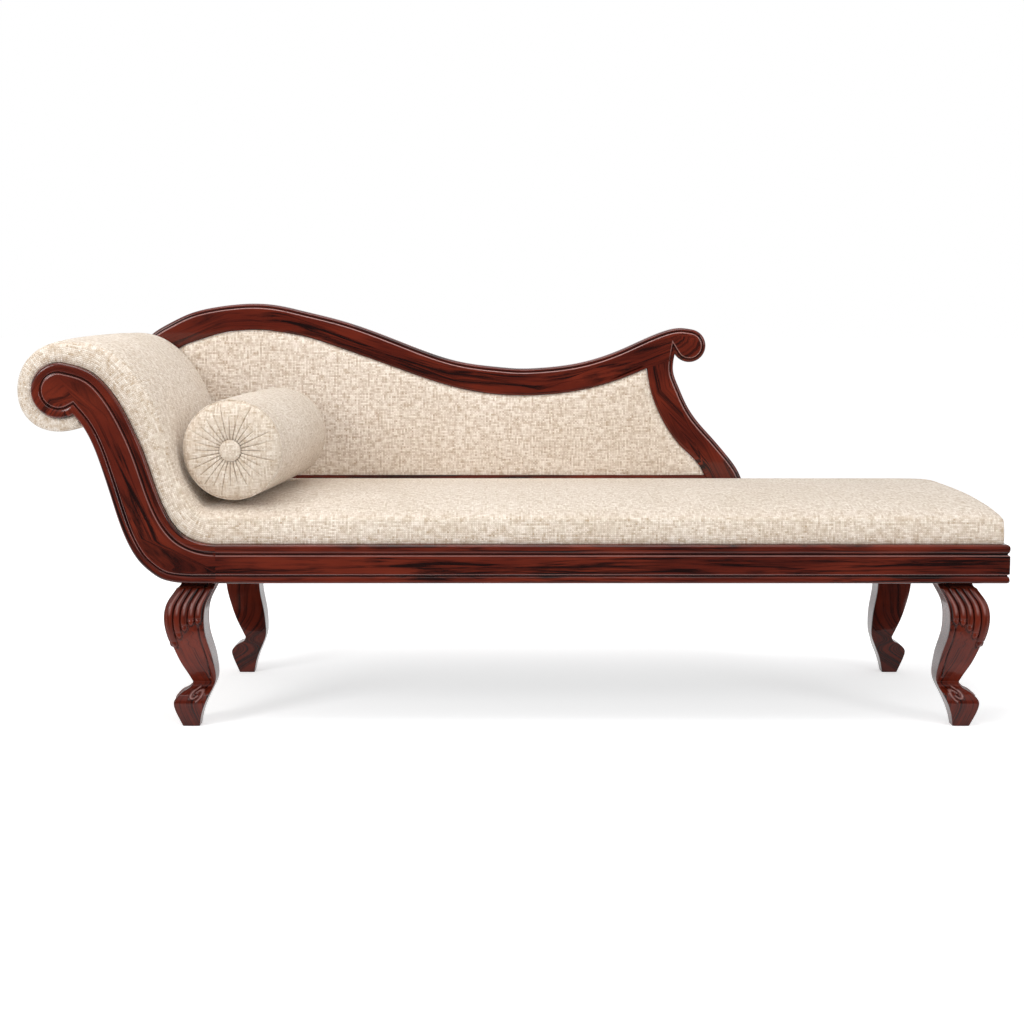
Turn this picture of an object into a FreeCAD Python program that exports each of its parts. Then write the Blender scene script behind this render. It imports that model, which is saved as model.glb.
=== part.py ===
import FreeCAD, Part
import math
import os

V = FreeCAD.Vector
os.makedirs("parts", exist_ok=True)

# Overall sizes in millimetres. X runs along the couch, head end at -X; Y runs from front to back; Z is up
LENGTH = 1910.0
DEPTH = 658.0
LEG_HEIGHT = 284.5
RAIL_HEIGHT = 75.5
SEAT_PAD = 77.0
BACK_RISE = 457.0

# Frame timber
MOULD_T = 22.0
SIDE_T = 28.0
BACK_T = 38.0
BEAD = 16.5
GROOVE_W = 4.0
GROOVE_D = 3.0
EDGE_ROUND = 4.0
WEB_DROP = 3.0
BEARER_H = 58.0
BEARERS = 3
BEARER_UP = 6.0
HEAD_RAIL_UP = 4.0
TIE_RAIL_H = 60.0
TIE_RAIL_DROP = 44.0
TIE_RAIL_AT = 0.43
SLAT_SHARES = (0.18, 0.31, 0.44, 0.57, 0.70)

# Scrolled head end
VOLUTE_R = 53.0
ROLL_PAD = 33.5
VOLUTE_RISE = 296.5
HEAD_REACH = 294.0
SPLICE_REACH = 104.0
NOTCH_ANGLE = -60.0
CREST_ANGLE = 80.0
FOOT_FLAT = 0.16
ROLL_CORE_GAP = 4.0
SLAT_W = 46.0
SLAT_T = 16.0

# Back frame
CREST_W = 60.0
BACK_SHORT = 632.0
BACK_RAIL_LOW = 8.0
BACK_RAIL_H = 68.0
CREST_STEP_W = 9.0
CREST_STEP_D = 3.0
SCROLL_R = 36.6
BOARD_T = 4.0
BACK_CROWN = 9.0
BACK_SINK = 6.0
BACK_EDGE = 5.0
BACK_FADE = 120.0
BOARD_SET = 8.0
CREST_SEAM = 0.268
CREST_SEAM_RISE = 0.918
STILE_UP = 6.0
HEAD_STILE_UP = 16.0
HEAD_STILE_SET = 23.5

# Legs
LEG_HEAD_SET = 69.5
LEG_END_SET = 67.0
LEG_TOP = 68.0
BLOCK_LENGTH = 74.0
BLOCK_LAP = 30.0
REAR_LEG_INSET = 36.0

# Upholstery
COVER_T = 2.0
FIT = 0.3
FOAM_FIT = 0.7
COVER_GAP = 0.6
FRONT_BORDER = 14.0
REAR_BORDER = 6.0
END_BORDER = 10.0
PAD_ROUND = 13.0
WEB_W = 50.0
WEB_T = 1.5
WEB_GAP = 0.6
HESSIAN_T = 1.0
CROSS_WEBS = 15
LONG_WEBS = 6
DUST_T = 1.0
PANEL_START = 0.075
PANEL_END = 0.92
PANEL_STEPS = 12

# Bolster
BOLSTER_R = 100.0
BOLSTER_SHORT = 146.0
BOLSTER_TURN = 5.0
BOLSTER_SET = 47.5
BOLSTER_Y = -34.0
BOLSTER_DOME = 26.0
BUTTON_R = 21.0
BUTTON_T = 9.0
BUTTON_GAP = 4.0
SHOULDER_SHARE = 0.86
SHOULDER_RISE = 0.62
GATHERS = 28
BOLSTER_TAPER = 2.5
END_CLOTH = 3.0
DIMPLE = 5.0
TWINE_R = 1.5
GATHER_R = 2.5
GATHER_D = 1.3
GATHER_REACH = (1.0, 0.62, 0.86, 0.72)

# Fasteners
DOWEL_R = 5.0
DOWEL_L = 80.0
BOLT_R = 5.0
LEG_BOLT_L = 110.0
BACK_BOLT_L = 56.0
HEAD_R = 9.0
HEAD_T = 5.0
DOWEL_LAP = 0.7
NUT_SINK = 8.0

# Places that follow from those sizes
LEFT = -LENGTH / 2
RIGHT = LENGTH / 2
FRONT = -DEPTH / 2
BACK = DEPTH / 2
RAIL_BACK = BACK - BACK_T
RAIL_TOP = LEG_HEIGHT + RAIL_HEIGHT
VOLUTE_X = LEFT + VOLUTE_R + ROLL_PAD
VOLUTE_Z = RAIL_TOP + VOLUTE_RISE
JOINT_X = VOLUTE_X + HEAD_REACH
SPLICE_X = JOINT_X + SPLICE_REACH
SIDE_FRONT = FRONT + MOULD_T
INNER_FRONT = SIDE_FRONT + SIDE_T
INNER_BACK = RAIL_BACK - SIDE_T
RAIL_END = RIGHT - MOULD_T
WEB_TOP = RAIL_TOP - WEB_DROP
BACK_LEFT = VOLUTE_X + HEAD_STILE_SET
BACK_LENGTH = LENGTH - BACK_SHORT
BACK_BASE = RAIL_TOP
BOARD_FRONT = BACK - BOARD_SET - BOARD_T - COVER_T
BOLSTER_LENGTH = DEPTH - BOLSTER_SHORT

# Outline of the scrolled side, as shares of its reach and rise from the rail joint to the volute's centre
SCROLL_UPPER = [
    (0.788, 1.117), (0.662, 0.992), (0.537, 0.776), (0.476, 0.634), (0.414, 0.450),
    (0.353, 0.275), (0.290, 0.151), (0.227, 0.077), (0.162, 0.036), (0.100, 0.0135), (0.045, 0.003),
]
SCROLL_LOWER = [
    (0.861, 0.829), (0.799, 0.742), (0.738, 0.611), (0.678, 0.455), (0.617, 0.297), (0.556, 0.183),
    (0.492, 0.107), (0.428, 0.060), (0.363, 0.026), (0.298, 0.010), (0.229, 0.003),
]

# Outlines of the back, as shares of its length and of its rise above the seat rail
CREST_OUTER = [
    (0.002, 0.748), (0.030, 0.846), (0.066, 0.909), (0.100, 0.953), (0.136, 0.979), (0.170, 0.993),
    (0.213, 1.000), (0.256, 0.989), (0.291, 0.967), (0.360, 0.919), (0.429, 0.854), (0.499, 0.778),
    (0.568, 0.718), (0.637, 0.692), (0.672, 0.685), (0.706, 0.688), (0.776, 0.713), (0.845, 0.774),
    (0.914, 0.858), (0.933, 0.875), (0.950, 0.882),
]
CREST_INNER = [
    (0.043, 0.683), (0.082, 0.788), (0.117, 0.826), (0.152, 0.856), (0.187, 0.870), (0.221, 0.873),
    (0.256, 0.863), (0.291, 0.846), (0.360, 0.786), (0.429, 0.718), (0.498, 0.648), (0.568, 0.589),
    (0.637, 0.559), (0.672, 0.555), (0.706, 0.557), (0.776, 0.580), (0.845, 0.633), (0.893, 0.687),
]
STILE_OUTER = [
    (0.940, 0.728), (0.939, 0.679), (0.948, 0.602), (0.964, 0.504), (0.983, 0.426), (1.008, 0.348),
    (1.032, 0.270), (1.053, 0.191), (1.065, 0.100), (1.068, 0.0),
]
STILE_INNER = [
    (0.893, 0.687), (0.899, 0.591), (0.919, 0.446), (0.941, 0.348), (0.958, 0.294), (0.985, 0.216),
    (1.000, 0.130), (1.006, 0.060), (1.008, 0.0),
]
HEAD_STILE_OUTER = [
    (0.002, 0.748), (0.018, 0.613), (0.035, 0.438), (0.055, 0.252), (0.082, 0.022), (0.104, -0.055),
]
HEAD_STILE_INNER = [
    (0.043, 0.683), (0.063, 0.600), (0.088, 0.479), (0.110, 0.300), (0.135, 0.149), (0.160, 0.033),
]
HEAD_BOLTS = [(0.118, 0.085), (0.070, 0.350)]
SCROLL_AT = (0.9665, 0.7965)
SCROLL_FROM = 80.0
SCROLL_TO = -150.0

# Leg outlines from the top down, as shares of the width at its top and of its height, out from its outer edge
LEG_OUTER = [
    (0.0, 1.0), (0.147, 0.935), (0.294, 0.880), (0.397, 0.800), (0.412, 0.745), (0.353, 0.640),
    (0.221, 0.540), (0.044, 0.430), (-0.132, 0.345), (-0.221, 0.298),
]
FOOT_OUTER = [
    (-0.221, 0.298), (-0.176, 0.270), (0.0, 0.244), (0.162, 0.214), (0.257, 0.180), (0.250, 0.138),
    (0.147, 0.062), (0.044, 0.0),
]
LEG_INNER = [
    (-1.0, 1.0), (-0.882, 0.940), (-0.728, 0.860), (-0.662, 0.745), (-0.691, 0.640), (-0.824, 0.500),
    (-0.882, 0.400), (-0.882, 0.310), (-0.765, 0.235), (-0.588, 0.140), (-0.485, 0.060), (-0.441, 0.0),
]
KNEE_SHARE = 0.412

# How thick the pad is: round the roll as shares of ROLL_PAD at each angle, then down the slope as shares of
# SEAT_PAD at even steps, and last at distances from the foot end
ROLL_STATIONS = [
    (-60, 0.86), (-90, 0.86), (-120, 1.00), (-150, 1.06),
    (-180, 1.00), (-210, 1.04), (-240, 1.16), (-265, 1.29),
]
SLOPE_STATIONS = [0.60, 0.80, 0.90, 0.92, 0.88, 0.77, 0.66, 0.73, 0.85, 0.94, 1.0]
END_STATIONS = [(110.0, 1.0), (60.0, 0.995), (28.0, 0.97), (11.0, 0.92), (3.0, 0.84), (0.0, 0.74)]
FRONT_DROP = 0.27
REAR_DROP = 0.08
PAD_STEPS = 3
SLOPE_STEPS = 4


def edge(start, end):
    return Part.makeLine(start, end)


def spline(points):
    """A smooth edge through points."""
    curve = Part.BSplineCurve()
    curve.interpolate(points)
    return curve.toShape()


def arc(start, middle, end):
    return Part.Arc(start, middle, end).toShape()


def flat(edges):
    """A flat face inside a closed chain of edges."""
    return Part.Face(Part.Wire(Part.__sortEdges__(edges)))


def polygon(points):
    return Part.Face(Part.makePolygon(points + points[:1]))


def block(x0, x1, y0, y1, z0, z1):
    return Part.makeBox(x1 - x0, y1 - y0, z1 - z0, V(x0, y0, z0))


def rod(radius, base, direction, length):
    return Part.makeCylinder(radius, length, base, direction)


def group(solids):
    return Part.makeCompound(solids)


def one(shape):
    """The single solid that a cut or common leaves."""
    return shape.Solids[0]


def drill(piece, rods):
    for tool in rods:
        piece = piece.cut(tool)
    return one(piece)


def save(name, shape):
    shape.exportStep("parts/" + name + ".step")


# Scrolled side
def volute_point(angle, radius=VOLUTE_R):
    turn = math.radians(angle)
    return V(VOLUTE_X + radius * math.cos(turn), 0, VOLUTE_Z + radius * math.sin(turn))


def upper_curve():
    """The top edge of the scrolled side, from the volute down to the rail joint."""
    points = [volute_point(CREST_ANGLE)]
    points += [V(JOINT_X - f * HEAD_REACH, 0, RAIL_TOP + g * VOLUTE_RISE) for f, g in SCROLL_UPPER]
    points.append(V(JOINT_X, 0, RAIL_TOP))
    return spline(points)


def lower_curve():
    """The bottom edge of the scrolled side, from the notch under the volute to the flat of the rail."""
    rise = VOLUTE_RISE + RAIL_HEIGHT
    points = [volute_point(NOTCH_ANGLE)]
    points += [V(JOINT_X - f * HEAD_REACH, 0, LEG_HEIGHT + g * rise) for f, g in SCROLL_LOWER]
    points.append(V(JOINT_X - FOOT_FLAT * HEAD_REACH, 0, LEG_HEIGHT))
    return spline(points)


def side_outline(end_x):
    """The outline of the scrolled side and the rail that continues it as far as end_x."""
    upper = upper_curve()
    lower = lower_curve()
    volute = arc(volute_point(NOTCH_ANGLE), volute_point(180.0), volute_point(CREST_ANGLE))
    foot = lower.Vertexes[-1].Point
    corner_low = V(end_x, 0, LEG_HEIGHT)
    corner_high = V(end_x, 0, RAIL_TOP)
    edges = [volute, upper, edge(corner_high, corner_low), edge(corner_low, foot), lower]
    if end_x > JOINT_X:
        edges.append(edge(V(JOINT_X, 0, RAIL_TOP), corner_high))
    return flat(edges)


def drawn_in(face, distance):
    """A face drawn in all round by a distance."""
    return face.makeOffset2D(-distance).toNurbs()


def solid_between(face, y0, y1):
    """A face drawn at Y = 0, made solid between two depths."""
    moved = face.copy()
    moved.translate(V(0, y0, 0))
    return moved.extrude(V(0, y1 - y0, 0))


# Scrolled side and rails
def sides_and_rails():
    past_joint = side_outline(JOINT_X + 3 * BEAD)
    grooves = drawn_in(past_joint, BEAD).cut(drawn_in(past_joint, BEAD + GROOVE_W))
    groove_tool = solid_between(grooves, FRONT - 1, FRONT + GROOVE_D)
    moulding = solid_between(side_outline(JOINT_X), FRONT, SIDE_FRONT)
    save("front_scroll_moulding", one(moulding.cut(groove_tool)))

    mitre = [V(RAIL_END, SIDE_FRONT, 0), V(RIGHT, FRONT, 0), V(RIGHT + 1, FRONT - 1, 0)]
    kept_front = polygon(mitre + [V(JOINT_X, FRONT - 1, 0), V(JOINT_X, SIDE_FRONT, 0)])
    mitre_front = kept_front.extrude(V(0, 0, 2 * RAIL_TOP))
    front_rail = rounded(block(JOINT_X, RIGHT, FRONT, SIDE_FRONT, LEG_HEIGHT, RAIL_TOP), "Y", FRONT)
    for low in groove_lows():
        front_rail = front_rail.cut(block(JOINT_X, RIGHT, FRONT - 1, FRONT + GROOVE_D, low, low + GROOVE_W))
    save("front_rail_moulding", one(front_rail.common(mitre_front)))

    kept_end = polygon(mitre + [V(RIGHT + 1, RAIL_BACK, 0), V(RAIL_END, RAIL_BACK, 0)])
    mitre_end = kept_end.extrude(V(0, 0, 2 * RAIL_TOP))
    end_rail = rounded(block(RAIL_END, RIGHT, FRONT, RAIL_BACK, LEG_HEIGHT, RAIL_TOP), "X", RIGHT)
    groove_x = RIGHT - GROOVE_D
    for low in groove_lows():
        end_rail = end_rail.cut(block(groove_x, RIGHT + 1, FRONT - 1, RAIL_BACK + 1, low, low + GROOVE_W))
    save("end_rail_moulding", one(end_rail.common(mitre_end)))

    side = side_outline(SPLICE_X)
    front_side = solid_between(side, SIDE_FRONT, INNER_FRONT)
    rear_side = solid_between(side, INNER_BACK, RAIL_BACK)
    save("front_scroll_side", drill(front_side, splice_dowels(SIDE_FRONT)))
    save("rear_scroll_side", drill(rear_side, splice_dowels(INNER_BACK) + back_bolt_holes()))

    front = block(SPLICE_X, RAIL_END, SIDE_FRONT, INNER_FRONT, LEG_HEIGHT, WEB_TOP)
    rear = block(SPLICE_X, RAIL_END, INNER_BACK, RAIL_BACK, LEG_HEIGHT, WEB_TOP)
    end = block(RAIL_END - SIDE_T, RAIL_END, INNER_FRONT, INNER_BACK, LEG_HEIGHT, WEB_TOP)
    save("front_seat_rail", drill(front, splice_dowels(SIDE_FRONT) + end_dowels(INNER_FRONT)))
    rear_holes = splice_dowels(INNER_BACK) + end_dowels(INNER_BACK) + back_bolt_holes()
    save("rear_seat_rail", drill(rear, rear_holes))
    save("end_seat_rail", drill(end, end_dowels(INNER_FRONT) + end_dowels(INNER_BACK)))
    dowels = splice_dowels(SIDE_FRONT) + splice_dowels(INNER_BACK)
    save("rail_dowels", group(dowels + end_dowels(INNER_FRONT) + end_dowels(INNER_BACK)))


def groove_lows():
    """The undersides of the two grooves along the straight rails."""
    return (LEG_HEIGHT + BEAD, RAIL_TOP - BEAD - GROOVE_W)


def rounded(rail, axis, face_at):
    """A straight rail with the long edges of one show face rounded over."""
    picked = []
    for line in rail.Edges:
        ends = [v.Point for v in line.Vertexes]
        on_face = all(abs((p.y if axis == "Y" else p.x) - face_at) < 0.01 for p in ends)
        if on_face and abs(ends[0].z - ends[1].z) < 0.01:
            picked.append(line)
    return rail.makeFillet(EDGE_ROUND, picked)


def dowel_heights():
    return (LEG_HEIGHT + 0.27 * RAIL_HEIGHT, LEG_HEIGHT + 0.71 * RAIL_HEIGHT)


def back_bolt_holes():
    """The bolts that hold the back frame, through the rear seat rail and the rear side."""
    stile_x = back_point(STILE_OUTER[-1]).x - SIDE_T
    places = [V(stile_x, 0, LEG_HEIGHT + share * RAIL_HEIGHT) for share in (0.3, 0.7)]
    places += [back_point(share) for share in HEAD_BOLTS]
    return [rod(BOLT_R, V(p.x, INNER_BACK - HEAD_T, p.z), V(0, 1, 0), BACK_BOLT_L) for p in places]


def splice_dowels(y):
    """Two dowels across the butt joint of a scrolled side and its seat rail."""
    places = [V(SPLICE_X - DOWEL_L / 2, y + SIDE_T / 2, z) for z in dowel_heights()]
    return [rod(DOWEL_R, place, V(1, 0, 0), DOWEL_L) for place in places]


def end_dowels(y):
    """Two dowels that hold the end rail to a long rail, centred on the joint at depth y."""
    reach = SIDE_T * DOWEL_LAP
    places = [V(RAIL_END - SIDE_T / 2, y - reach, z) for z in dowel_heights()]
    return [rod(DOWEL_R, place, V(0, 1, 0), 2 * reach) for place in places]


# Cross members between the two sides
def cross_members():
    near = SPLICE_X - 1.6 * SIDE_T
    low = LEG_HEIGHT + HEAD_RAIL_UP
    save("head_seat_rail", block(near, near + SIDE_T, INNER_FRONT, INNER_BACK, low, WEB_TOP))
    foot = JOINT_X - TIE_RAIL_AT * HEAD_REACH
    low = RAIL_TOP - TIE_RAIL_DROP
    save("head_tie_rail", block(foot, foot + SIDE_T, INNER_FRONT, INNER_BACK, low, low + TIE_RAIL_H))
    core_near = V(VOLUTE_X, INNER_FRONT, VOLUTE_Z)
    save("roll_core", rod(VOLUTE_R - ROLL_CORE_GAP, core_near, V(0, 1, 0), INNER_BACK - INNER_FRONT))
    step = (RAIL_END - SPLICE_X) / (BEARERS + 1)
    low = LEG_HEIGHT + BEARER_UP
    bearers = []
    for i in range(BEARERS):
        near = SPLICE_X + step * (i + 1) - SIDE_T / 2
        bearers.append(block(near, near + SIDE_T, INNER_FRONT, INNER_BACK, low, low + BEARER_H))
    save("seat_bearers", group(bearers))
    save("head_slats", group(head_slats()))


def head_slats():
    """Flat slats let in between the sides, just under the top edge of the scroll."""
    upper = upper_curve()
    slats = []
    for share in SLAT_SHARES:
        point, normal = on_curve(upper, share)
        along = V(normal.z, 0, -normal.x)
        top = point - normal * WEB_DROP
        corners = [top - along * (SLAT_W / 2), top + along * (SLAT_W / 2)]
        corners += [c - normal * SLAT_T for c in reversed(corners)]
        slats.append(solid_between(polygon(corners), INNER_FRONT, INNER_BACK))
    return slats


def on_curve(curve, share):
    """The point at a share of a curve's length, and the direction that points out of the timber there."""
    at = curve.getParameterByLength(share * curve.Length)
    tangent = curve.tangentAt(at)
    return curve.valueAt(at), V(-tangent.z, 0, tangent.x)


# Legs, each sawn to one outline from the front and the same outline from the side
def leg_face(out_to_point):
    def trace(shares):
        return spline([out_to_point(u * LEG_TOP, z * LEG_HEIGHT) for u, z in shares])
    outer = trace(LEG_OUTER)
    foot = trace(FOOT_OUTER)
    inner = trace(LEG_INNER)
    top = edge(outer.Vertexes[0].Point, inner.Vertexes[0].Point)
    bottom = edge(foot.Vertexes[-1].Point, inner.Vertexes[-1].Point)
    return flat([outer, foot, bottom, inner, top])


def leg_places():
    """Each leg's name, the place of its top's outer corner, and which way it kicks out."""
    left = JOINT_X - LEG_HEAD_SET
    right = RIGHT - LEG_END_SET
    front = FRONT + KNEE_SHARE * LEG_TOP
    rear = RAIL_BACK - KNEE_SHARE * LEG_TOP
    return [
        ("front_left", left, front, -1, -1),
        ("front_right", right, front, 1, -1),
        ("rear_left", left + REAR_LEG_INSET, rear, -1, 1),
        ("rear_right", right - REAR_LEG_INSET, rear, 1, 1),
    ]


def legs():
    bolts = []
    nuts = []
    blocks = []
    for name, x, y, side, depth in leg_places():
        front_view = leg_face(lambda out, z: V(x + side * out, y - LEG_TOP * 2, z))
        side_view = leg_face(lambda out, z: V(x - LEG_TOP * 2, y + depth * out, z))
        leg = one(front_view.extrude(V(0, 4 * LEG_TOP, 0)).common(side_view.extrude(V(4 * LEG_TOP, 0, 0))))
        bolt_x = x - side * LEG_TOP / 2
        bolt_y = y - depth * LEG_TOP / 2
        bolt_low = V(bolt_x, bolt_y, LEG_HEIGHT - LEG_BOLT_L / 2)
        bolt = rod(BOLT_R, bolt_low, V(0, 0, 1), LEG_BOLT_L + HEAD_T)
        save("leg_" + name, drill(leg, [bolt]))
        bolts.append(bolt)
        block_x = bolt_x - BLOCK_LAP
        block_y = INNER_FRONT if depth < 0 else INNER_BACK - LEG_TOP
        block_top = LEG_HEIGHT + LEG_BOLT_L / 2 - NUT_SINK
        glued = block(block_x, block_x + BLOCK_LENGTH, block_y, block_y + LEG_TOP, LEG_HEIGHT, block_top)
        blocks.append(drill(glued, [bolt]))
        nuts.append(rod(HEAD_R, V(bolt_x, bolt_y, block_top), V(0, 0, 1), HEAD_T).cut(bolt))
    save("leg_bolts", group(bolts))
    save("leg_nuts", group(nuts))
    save("corner_blocks", group(blocks))


# Pad of the roll, slope and seat
def finer(stations, steps):
    """More stations in even steps between each two of a list of (place, share)."""
    result = []
    for (place, share), (next_place, next_share) in zip(stations, stations[1:]):
        for i in range(steps):
            part = i / steps
            result.append((place + (next_place - place) * part, share + (next_share - share) * part))
    return result + [stations[-1]]


def pad_stations(inset):
    """The pad's cross sections, each a point on the timber, the way out of it and the thickness there."""
    turn_in = math.degrees(inset / (VOLUTE_R + ROLL_PAD))
    stations = []
    for angle, share in finer(ROLL_STATIONS, PAD_STEPS):
        point = volute_point(min(angle, NOTCH_ANGLE - turn_in))
        stations.append((point, (point - V(VOLUTE_X, 0, VOLUTE_Z)) / VOLUTE_R, share * ROLL_PAD))
    upper = upper_curve()
    even = [(i / (len(SLOPE_STATIONS) - 1), share) for i, share in enumerate(SLOPE_STATIONS)]
    for place, share in finer(even, SLOPE_STEPS):
        point, normal = on_curve(upper, place)
        stations.append((point, normal, share * SEAT_PAD))
    for distance, share in END_STATIONS:
        x = RIGHT - END_BORDER - inset - distance
        stations.append((V(x, 0, RAIL_TOP), V(0, 0, 1), share * SEAT_PAD))
    return stations


def pad_section(station, low, inset):
    """One cross section of the pad, with upright borders and a crown that is lower at the front."""
    point, normal, thick = station
    front = FRONT + FRONT_BORDER + inset
    rear = RAIL_BACK - REAR_BORDER - inset
    round_in = PAD_ROUND - inset
    crown = thick - inset
    drop = thick * (thick / SEAT_PAD) ** 1.5
    high_front = crown - FRONT_DROP * drop
    high_rear = crown - REAR_DROP * drop
    bend = round_in * (1 - math.sqrt(0.5))

    def at(y, out):
        return V(point.x + normal.x * out, y, point.z + normal.z * out)

    front_low = at(front, low)
    front_side = at(front, high_front - round_in)
    front_top = at(front + round_in, high_front)
    rear_top = at(rear - round_in, high_rear)
    rear_side = at(rear, high_rear - round_in)
    rear_low = at(rear, low)
    return Part.Wire([
        edge(front_low, front_side),
        arc(front_side, at(front + bend, high_front - bend), front_top),
        arc(front_top, at((front + rear) / 2, crown), rear_top),
        arc(rear_top, at(rear - bend, high_rear - bend), rear_side),
        edge(rear_side, rear_low),
        edge(rear_low, front_low),
    ])


def seat_peak():
    """The height of the seat's crown at its highest line."""
    crown = pad_section((V(JOINT_X, 0, RAIL_TOP), V(0, 0, 1), SEAT_PAD), COVER_GAP, 0.0).Edges[2].Curve
    return crown.Center.z + crown.Radius


def pad(low, inset, stations=None):
    """The solid through all the cross sections, or through the given ones."""
    places = stations or pad_stations(inset)
    return Part.makeLoft([pad_section(station, low, inset) for station in places], True, True)


def layer(low, thick, inset):
    """A thin sheet that follows the timber under the pad."""
    front = FRONT + FRONT_BORDER + inset
    rear = RAIL_BACK - REAR_BORDER - inset
    sections = []
    for point, normal, _ in pad_stations(inset):
        corners = [(front, low), (front, low + thick), (rear, low + thick), (rear, low)]
        points = [V(point.x + normal.x * out, y, point.z + normal.z * out) for y, out in corners]
        sections.append(Part.makePolygon(points + points[:1]))
    return Part.makeLoft(sections, True, True)


def upholstery():
    save("seat_webbing_cross", group(cross_webs(WEB_TOP)))
    save("seat_webbing_long", group(long_webs(WEB_TOP + WEB_T)))
    foam_in = COVER_T + FOAM_FIT
    foam_low = WEB_GAP + HESSIAN_T + FIT
    save("hessian", layer(WEB_GAP, HESSIAN_T, foam_in))
    cover_in = pad(COVER_GAP - FIT, COVER_T)
    save("couch_cover", one(pad(COVER_GAP, 0.0).cut(cover_in)))
    stations = pad_stations(foam_in)
    seam = len(stations) - len(END_STATIONS)
    save("headrest_foam", pad(foam_low, foam_in, stations[:seam]))
    save("seat_foam", pad(foam_low, foam_in, stations[seam - 1:]))
    save("head_outer_cover", head_outer_cover())
    save("dust_cover", dust_cover())


def cross_webs(low):
    """Webs from front to back, tacked to the two long seat rails."""
    first = SPLICE_X + WEB_W / 2
    last = RAIL_END - SIDE_T - WEB_W / 2
    step = (last - first) / (CROSS_WEBS - 1)
    webs = []
    for i in range(CROSS_WEBS):
        x = first + step * i
        webs.append(block(x - WEB_W / 2, x + WEB_W / 2, SIDE_FRONT + 6, RAIL_BACK - 10, low, low + WEB_T))
    return webs


def long_webs(low):
    """Webs along the seat, over the cross webs, from the head seat rail to the end rail."""
    first = INNER_FRONT + WEB_W / 2 + 10
    last = INNER_BACK - WEB_W / 2 - 10
    step = (last - first) / (LONG_WEBS - 1)
    webs = []
    for i in range(LONG_WEBS):
        y = first + step * i
        webs.append(block(SPLICE_X + 2, RAIL_END - 6, y - WEB_W / 2, y + WEB_W / 2, low, low + WEB_T))
    return webs


def head_outer_cover():
    """The cloth tacked under the scroll, from the notch below the roll to just short of the legs."""
    lower = lower_curve()
    near = []
    far = []
    for i in range(PANEL_STEPS + 1):
        share = PANEL_START + (PANEL_END - PANEL_START) * i / PANEL_STEPS
        point, normal = on_curve(lower, share)
        near.append(point - normal * FIT)
        far.append(point - normal * (FIT + COVER_T))
    near_edge = spline(near)
    far_edge = spline(far)
    face = flat([near_edge, far_edge, edge(near[0], far[0]), edge(near[-1], far[-1])])
    return solid_between(face, SIDE_FRONT + 1, RAIL_BACK - 1)


def dust_cover():
    cloth = block(JOINT_X, RAIL_END - 2, SIDE_FRONT + 4, RAIL_BACK - 4, LEG_HEIGHT - DUST_T, LEG_HEIGHT)
    for _, x, y, side, depth in leg_places():
        middle_x = x - side * LEG_TOP / 2
        middle_y = y - depth * LEG_TOP / 2
        half = LEG_TOP / 2 + 3
        near_y = middle_y - half
        far_y = middle_y + half
        cloth = cloth.cut(block(middle_x - half, middle_x + half, near_y, far_y, 0, RAIL_TOP))
    return one(cloth)


# Back frame, planted on the rear of the seat and scroll
def back_point(share):
    return V(BACK_LEFT + share[0] * BACK_LENGTH, 0, BACK_BASE + share[1] * BACK_RISE)


def back_trace(shares):
    return spline([back_point(s) for s in shares])


def scroll_point(angle):
    """A point on the round scroll that ends the crest."""
    turn = math.radians(angle)
    return back_point(SCROLL_AT) + V(SCROLL_R * math.cos(turn), 0, SCROLL_R * math.sin(turn))


def start(curve):
    return curve.valueAt(curve.FirstParameter)


def end(curve):
    return curve.valueAt(curve.LastParameter)


def back_faces():
    """Flat faces of the crest, the two stiles, the bottom rail and the panel opening, at Y = 0."""
    outer = spline([back_point(s) for s in CREST_OUTER] + [scroll_point(SCROLL_FROM)])
    inner = back_trace(CREST_INNER)
    half_way = scroll_point((SCROLL_FROM + SCROLL_TO) / 2)
    scroll = arc(scroll_point(SCROLL_FROM), half_way, scroll_point(SCROLL_TO))
    stile_out = back_trace(STILE_OUTER)
    stile_in = back_trace(STILE_INNER)
    head_out = back_trace(HEAD_STILE_OUTER)
    head_in = back_trace(HEAD_STILE_INNER)
    hook = edge(scroll_point(SCROLL_TO), start(stile_out))
    crest_joint = edge(start(stile_out), end(inner))
    head_joint = edge(start(outer), start(inner))
    crest = flat([outer, scroll, hook, crest_joint, inner, head_joint])

    low = LEG_HEIGHT + STILE_UP
    out_foot = V(end(stile_out).x, 0, low)
    in_foot = V(end(stile_in).x, 0, low)
    stile_edges = [crest_joint, stile_out, edge(end(stile_out), out_foot), edge(out_foot, in_foot)]
    stile = flat(stile_edges + [edge(in_foot, end(stile_in)), stile_in])

    head_foot = V(end(head_in).x + SIDE_T, 0, LEG_HEIGHT + HEAD_STILE_UP)
    head_heel = V(end(head_out).x + SIDE_T, 0, LEG_HEIGHT + HEAD_STILE_UP)
    head_edges = [head_joint, head_out, edge(end(head_out), head_heel), edge(head_heel, head_foot)]
    head = flat(head_edges + [edge(head_foot, end(head_in)), head_in])

    rail_low = RAIL_TOP + BACK_RAIL_LOW
    rail_high = rail_low + BACK_RAIL_H
    rail_box = [V(end(head_out).x, 0, rail_low), V(end(stile_in).x, 0, rail_low)]
    rail_box += [V(end(stile_in).x, 0, rail_high), V(end(head_out).x, 0, rail_high)]
    rail = widest(polygon(rail_box).cut(stile).cut(head), rail_high - 1)

    whole_edges = [outer, scroll, hook, stile_out, head_out]
    whole = flat(whole_edges + [edge(end(stile_out), end(head_out))])
    opening = widest(whole.cut(crest).cut(stile).cut(head).cut(rail), rail_high + 1)
    return crest, stile, head, rail, opening, whole


def widest(shape, height):
    """The widest face that a cut leaves and that reaches above a height."""
    faces = [f for f in shape.Faces if f.BoundBox.ZMax > height]
    return max(faces, key=lambda f: f.Area)


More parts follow.
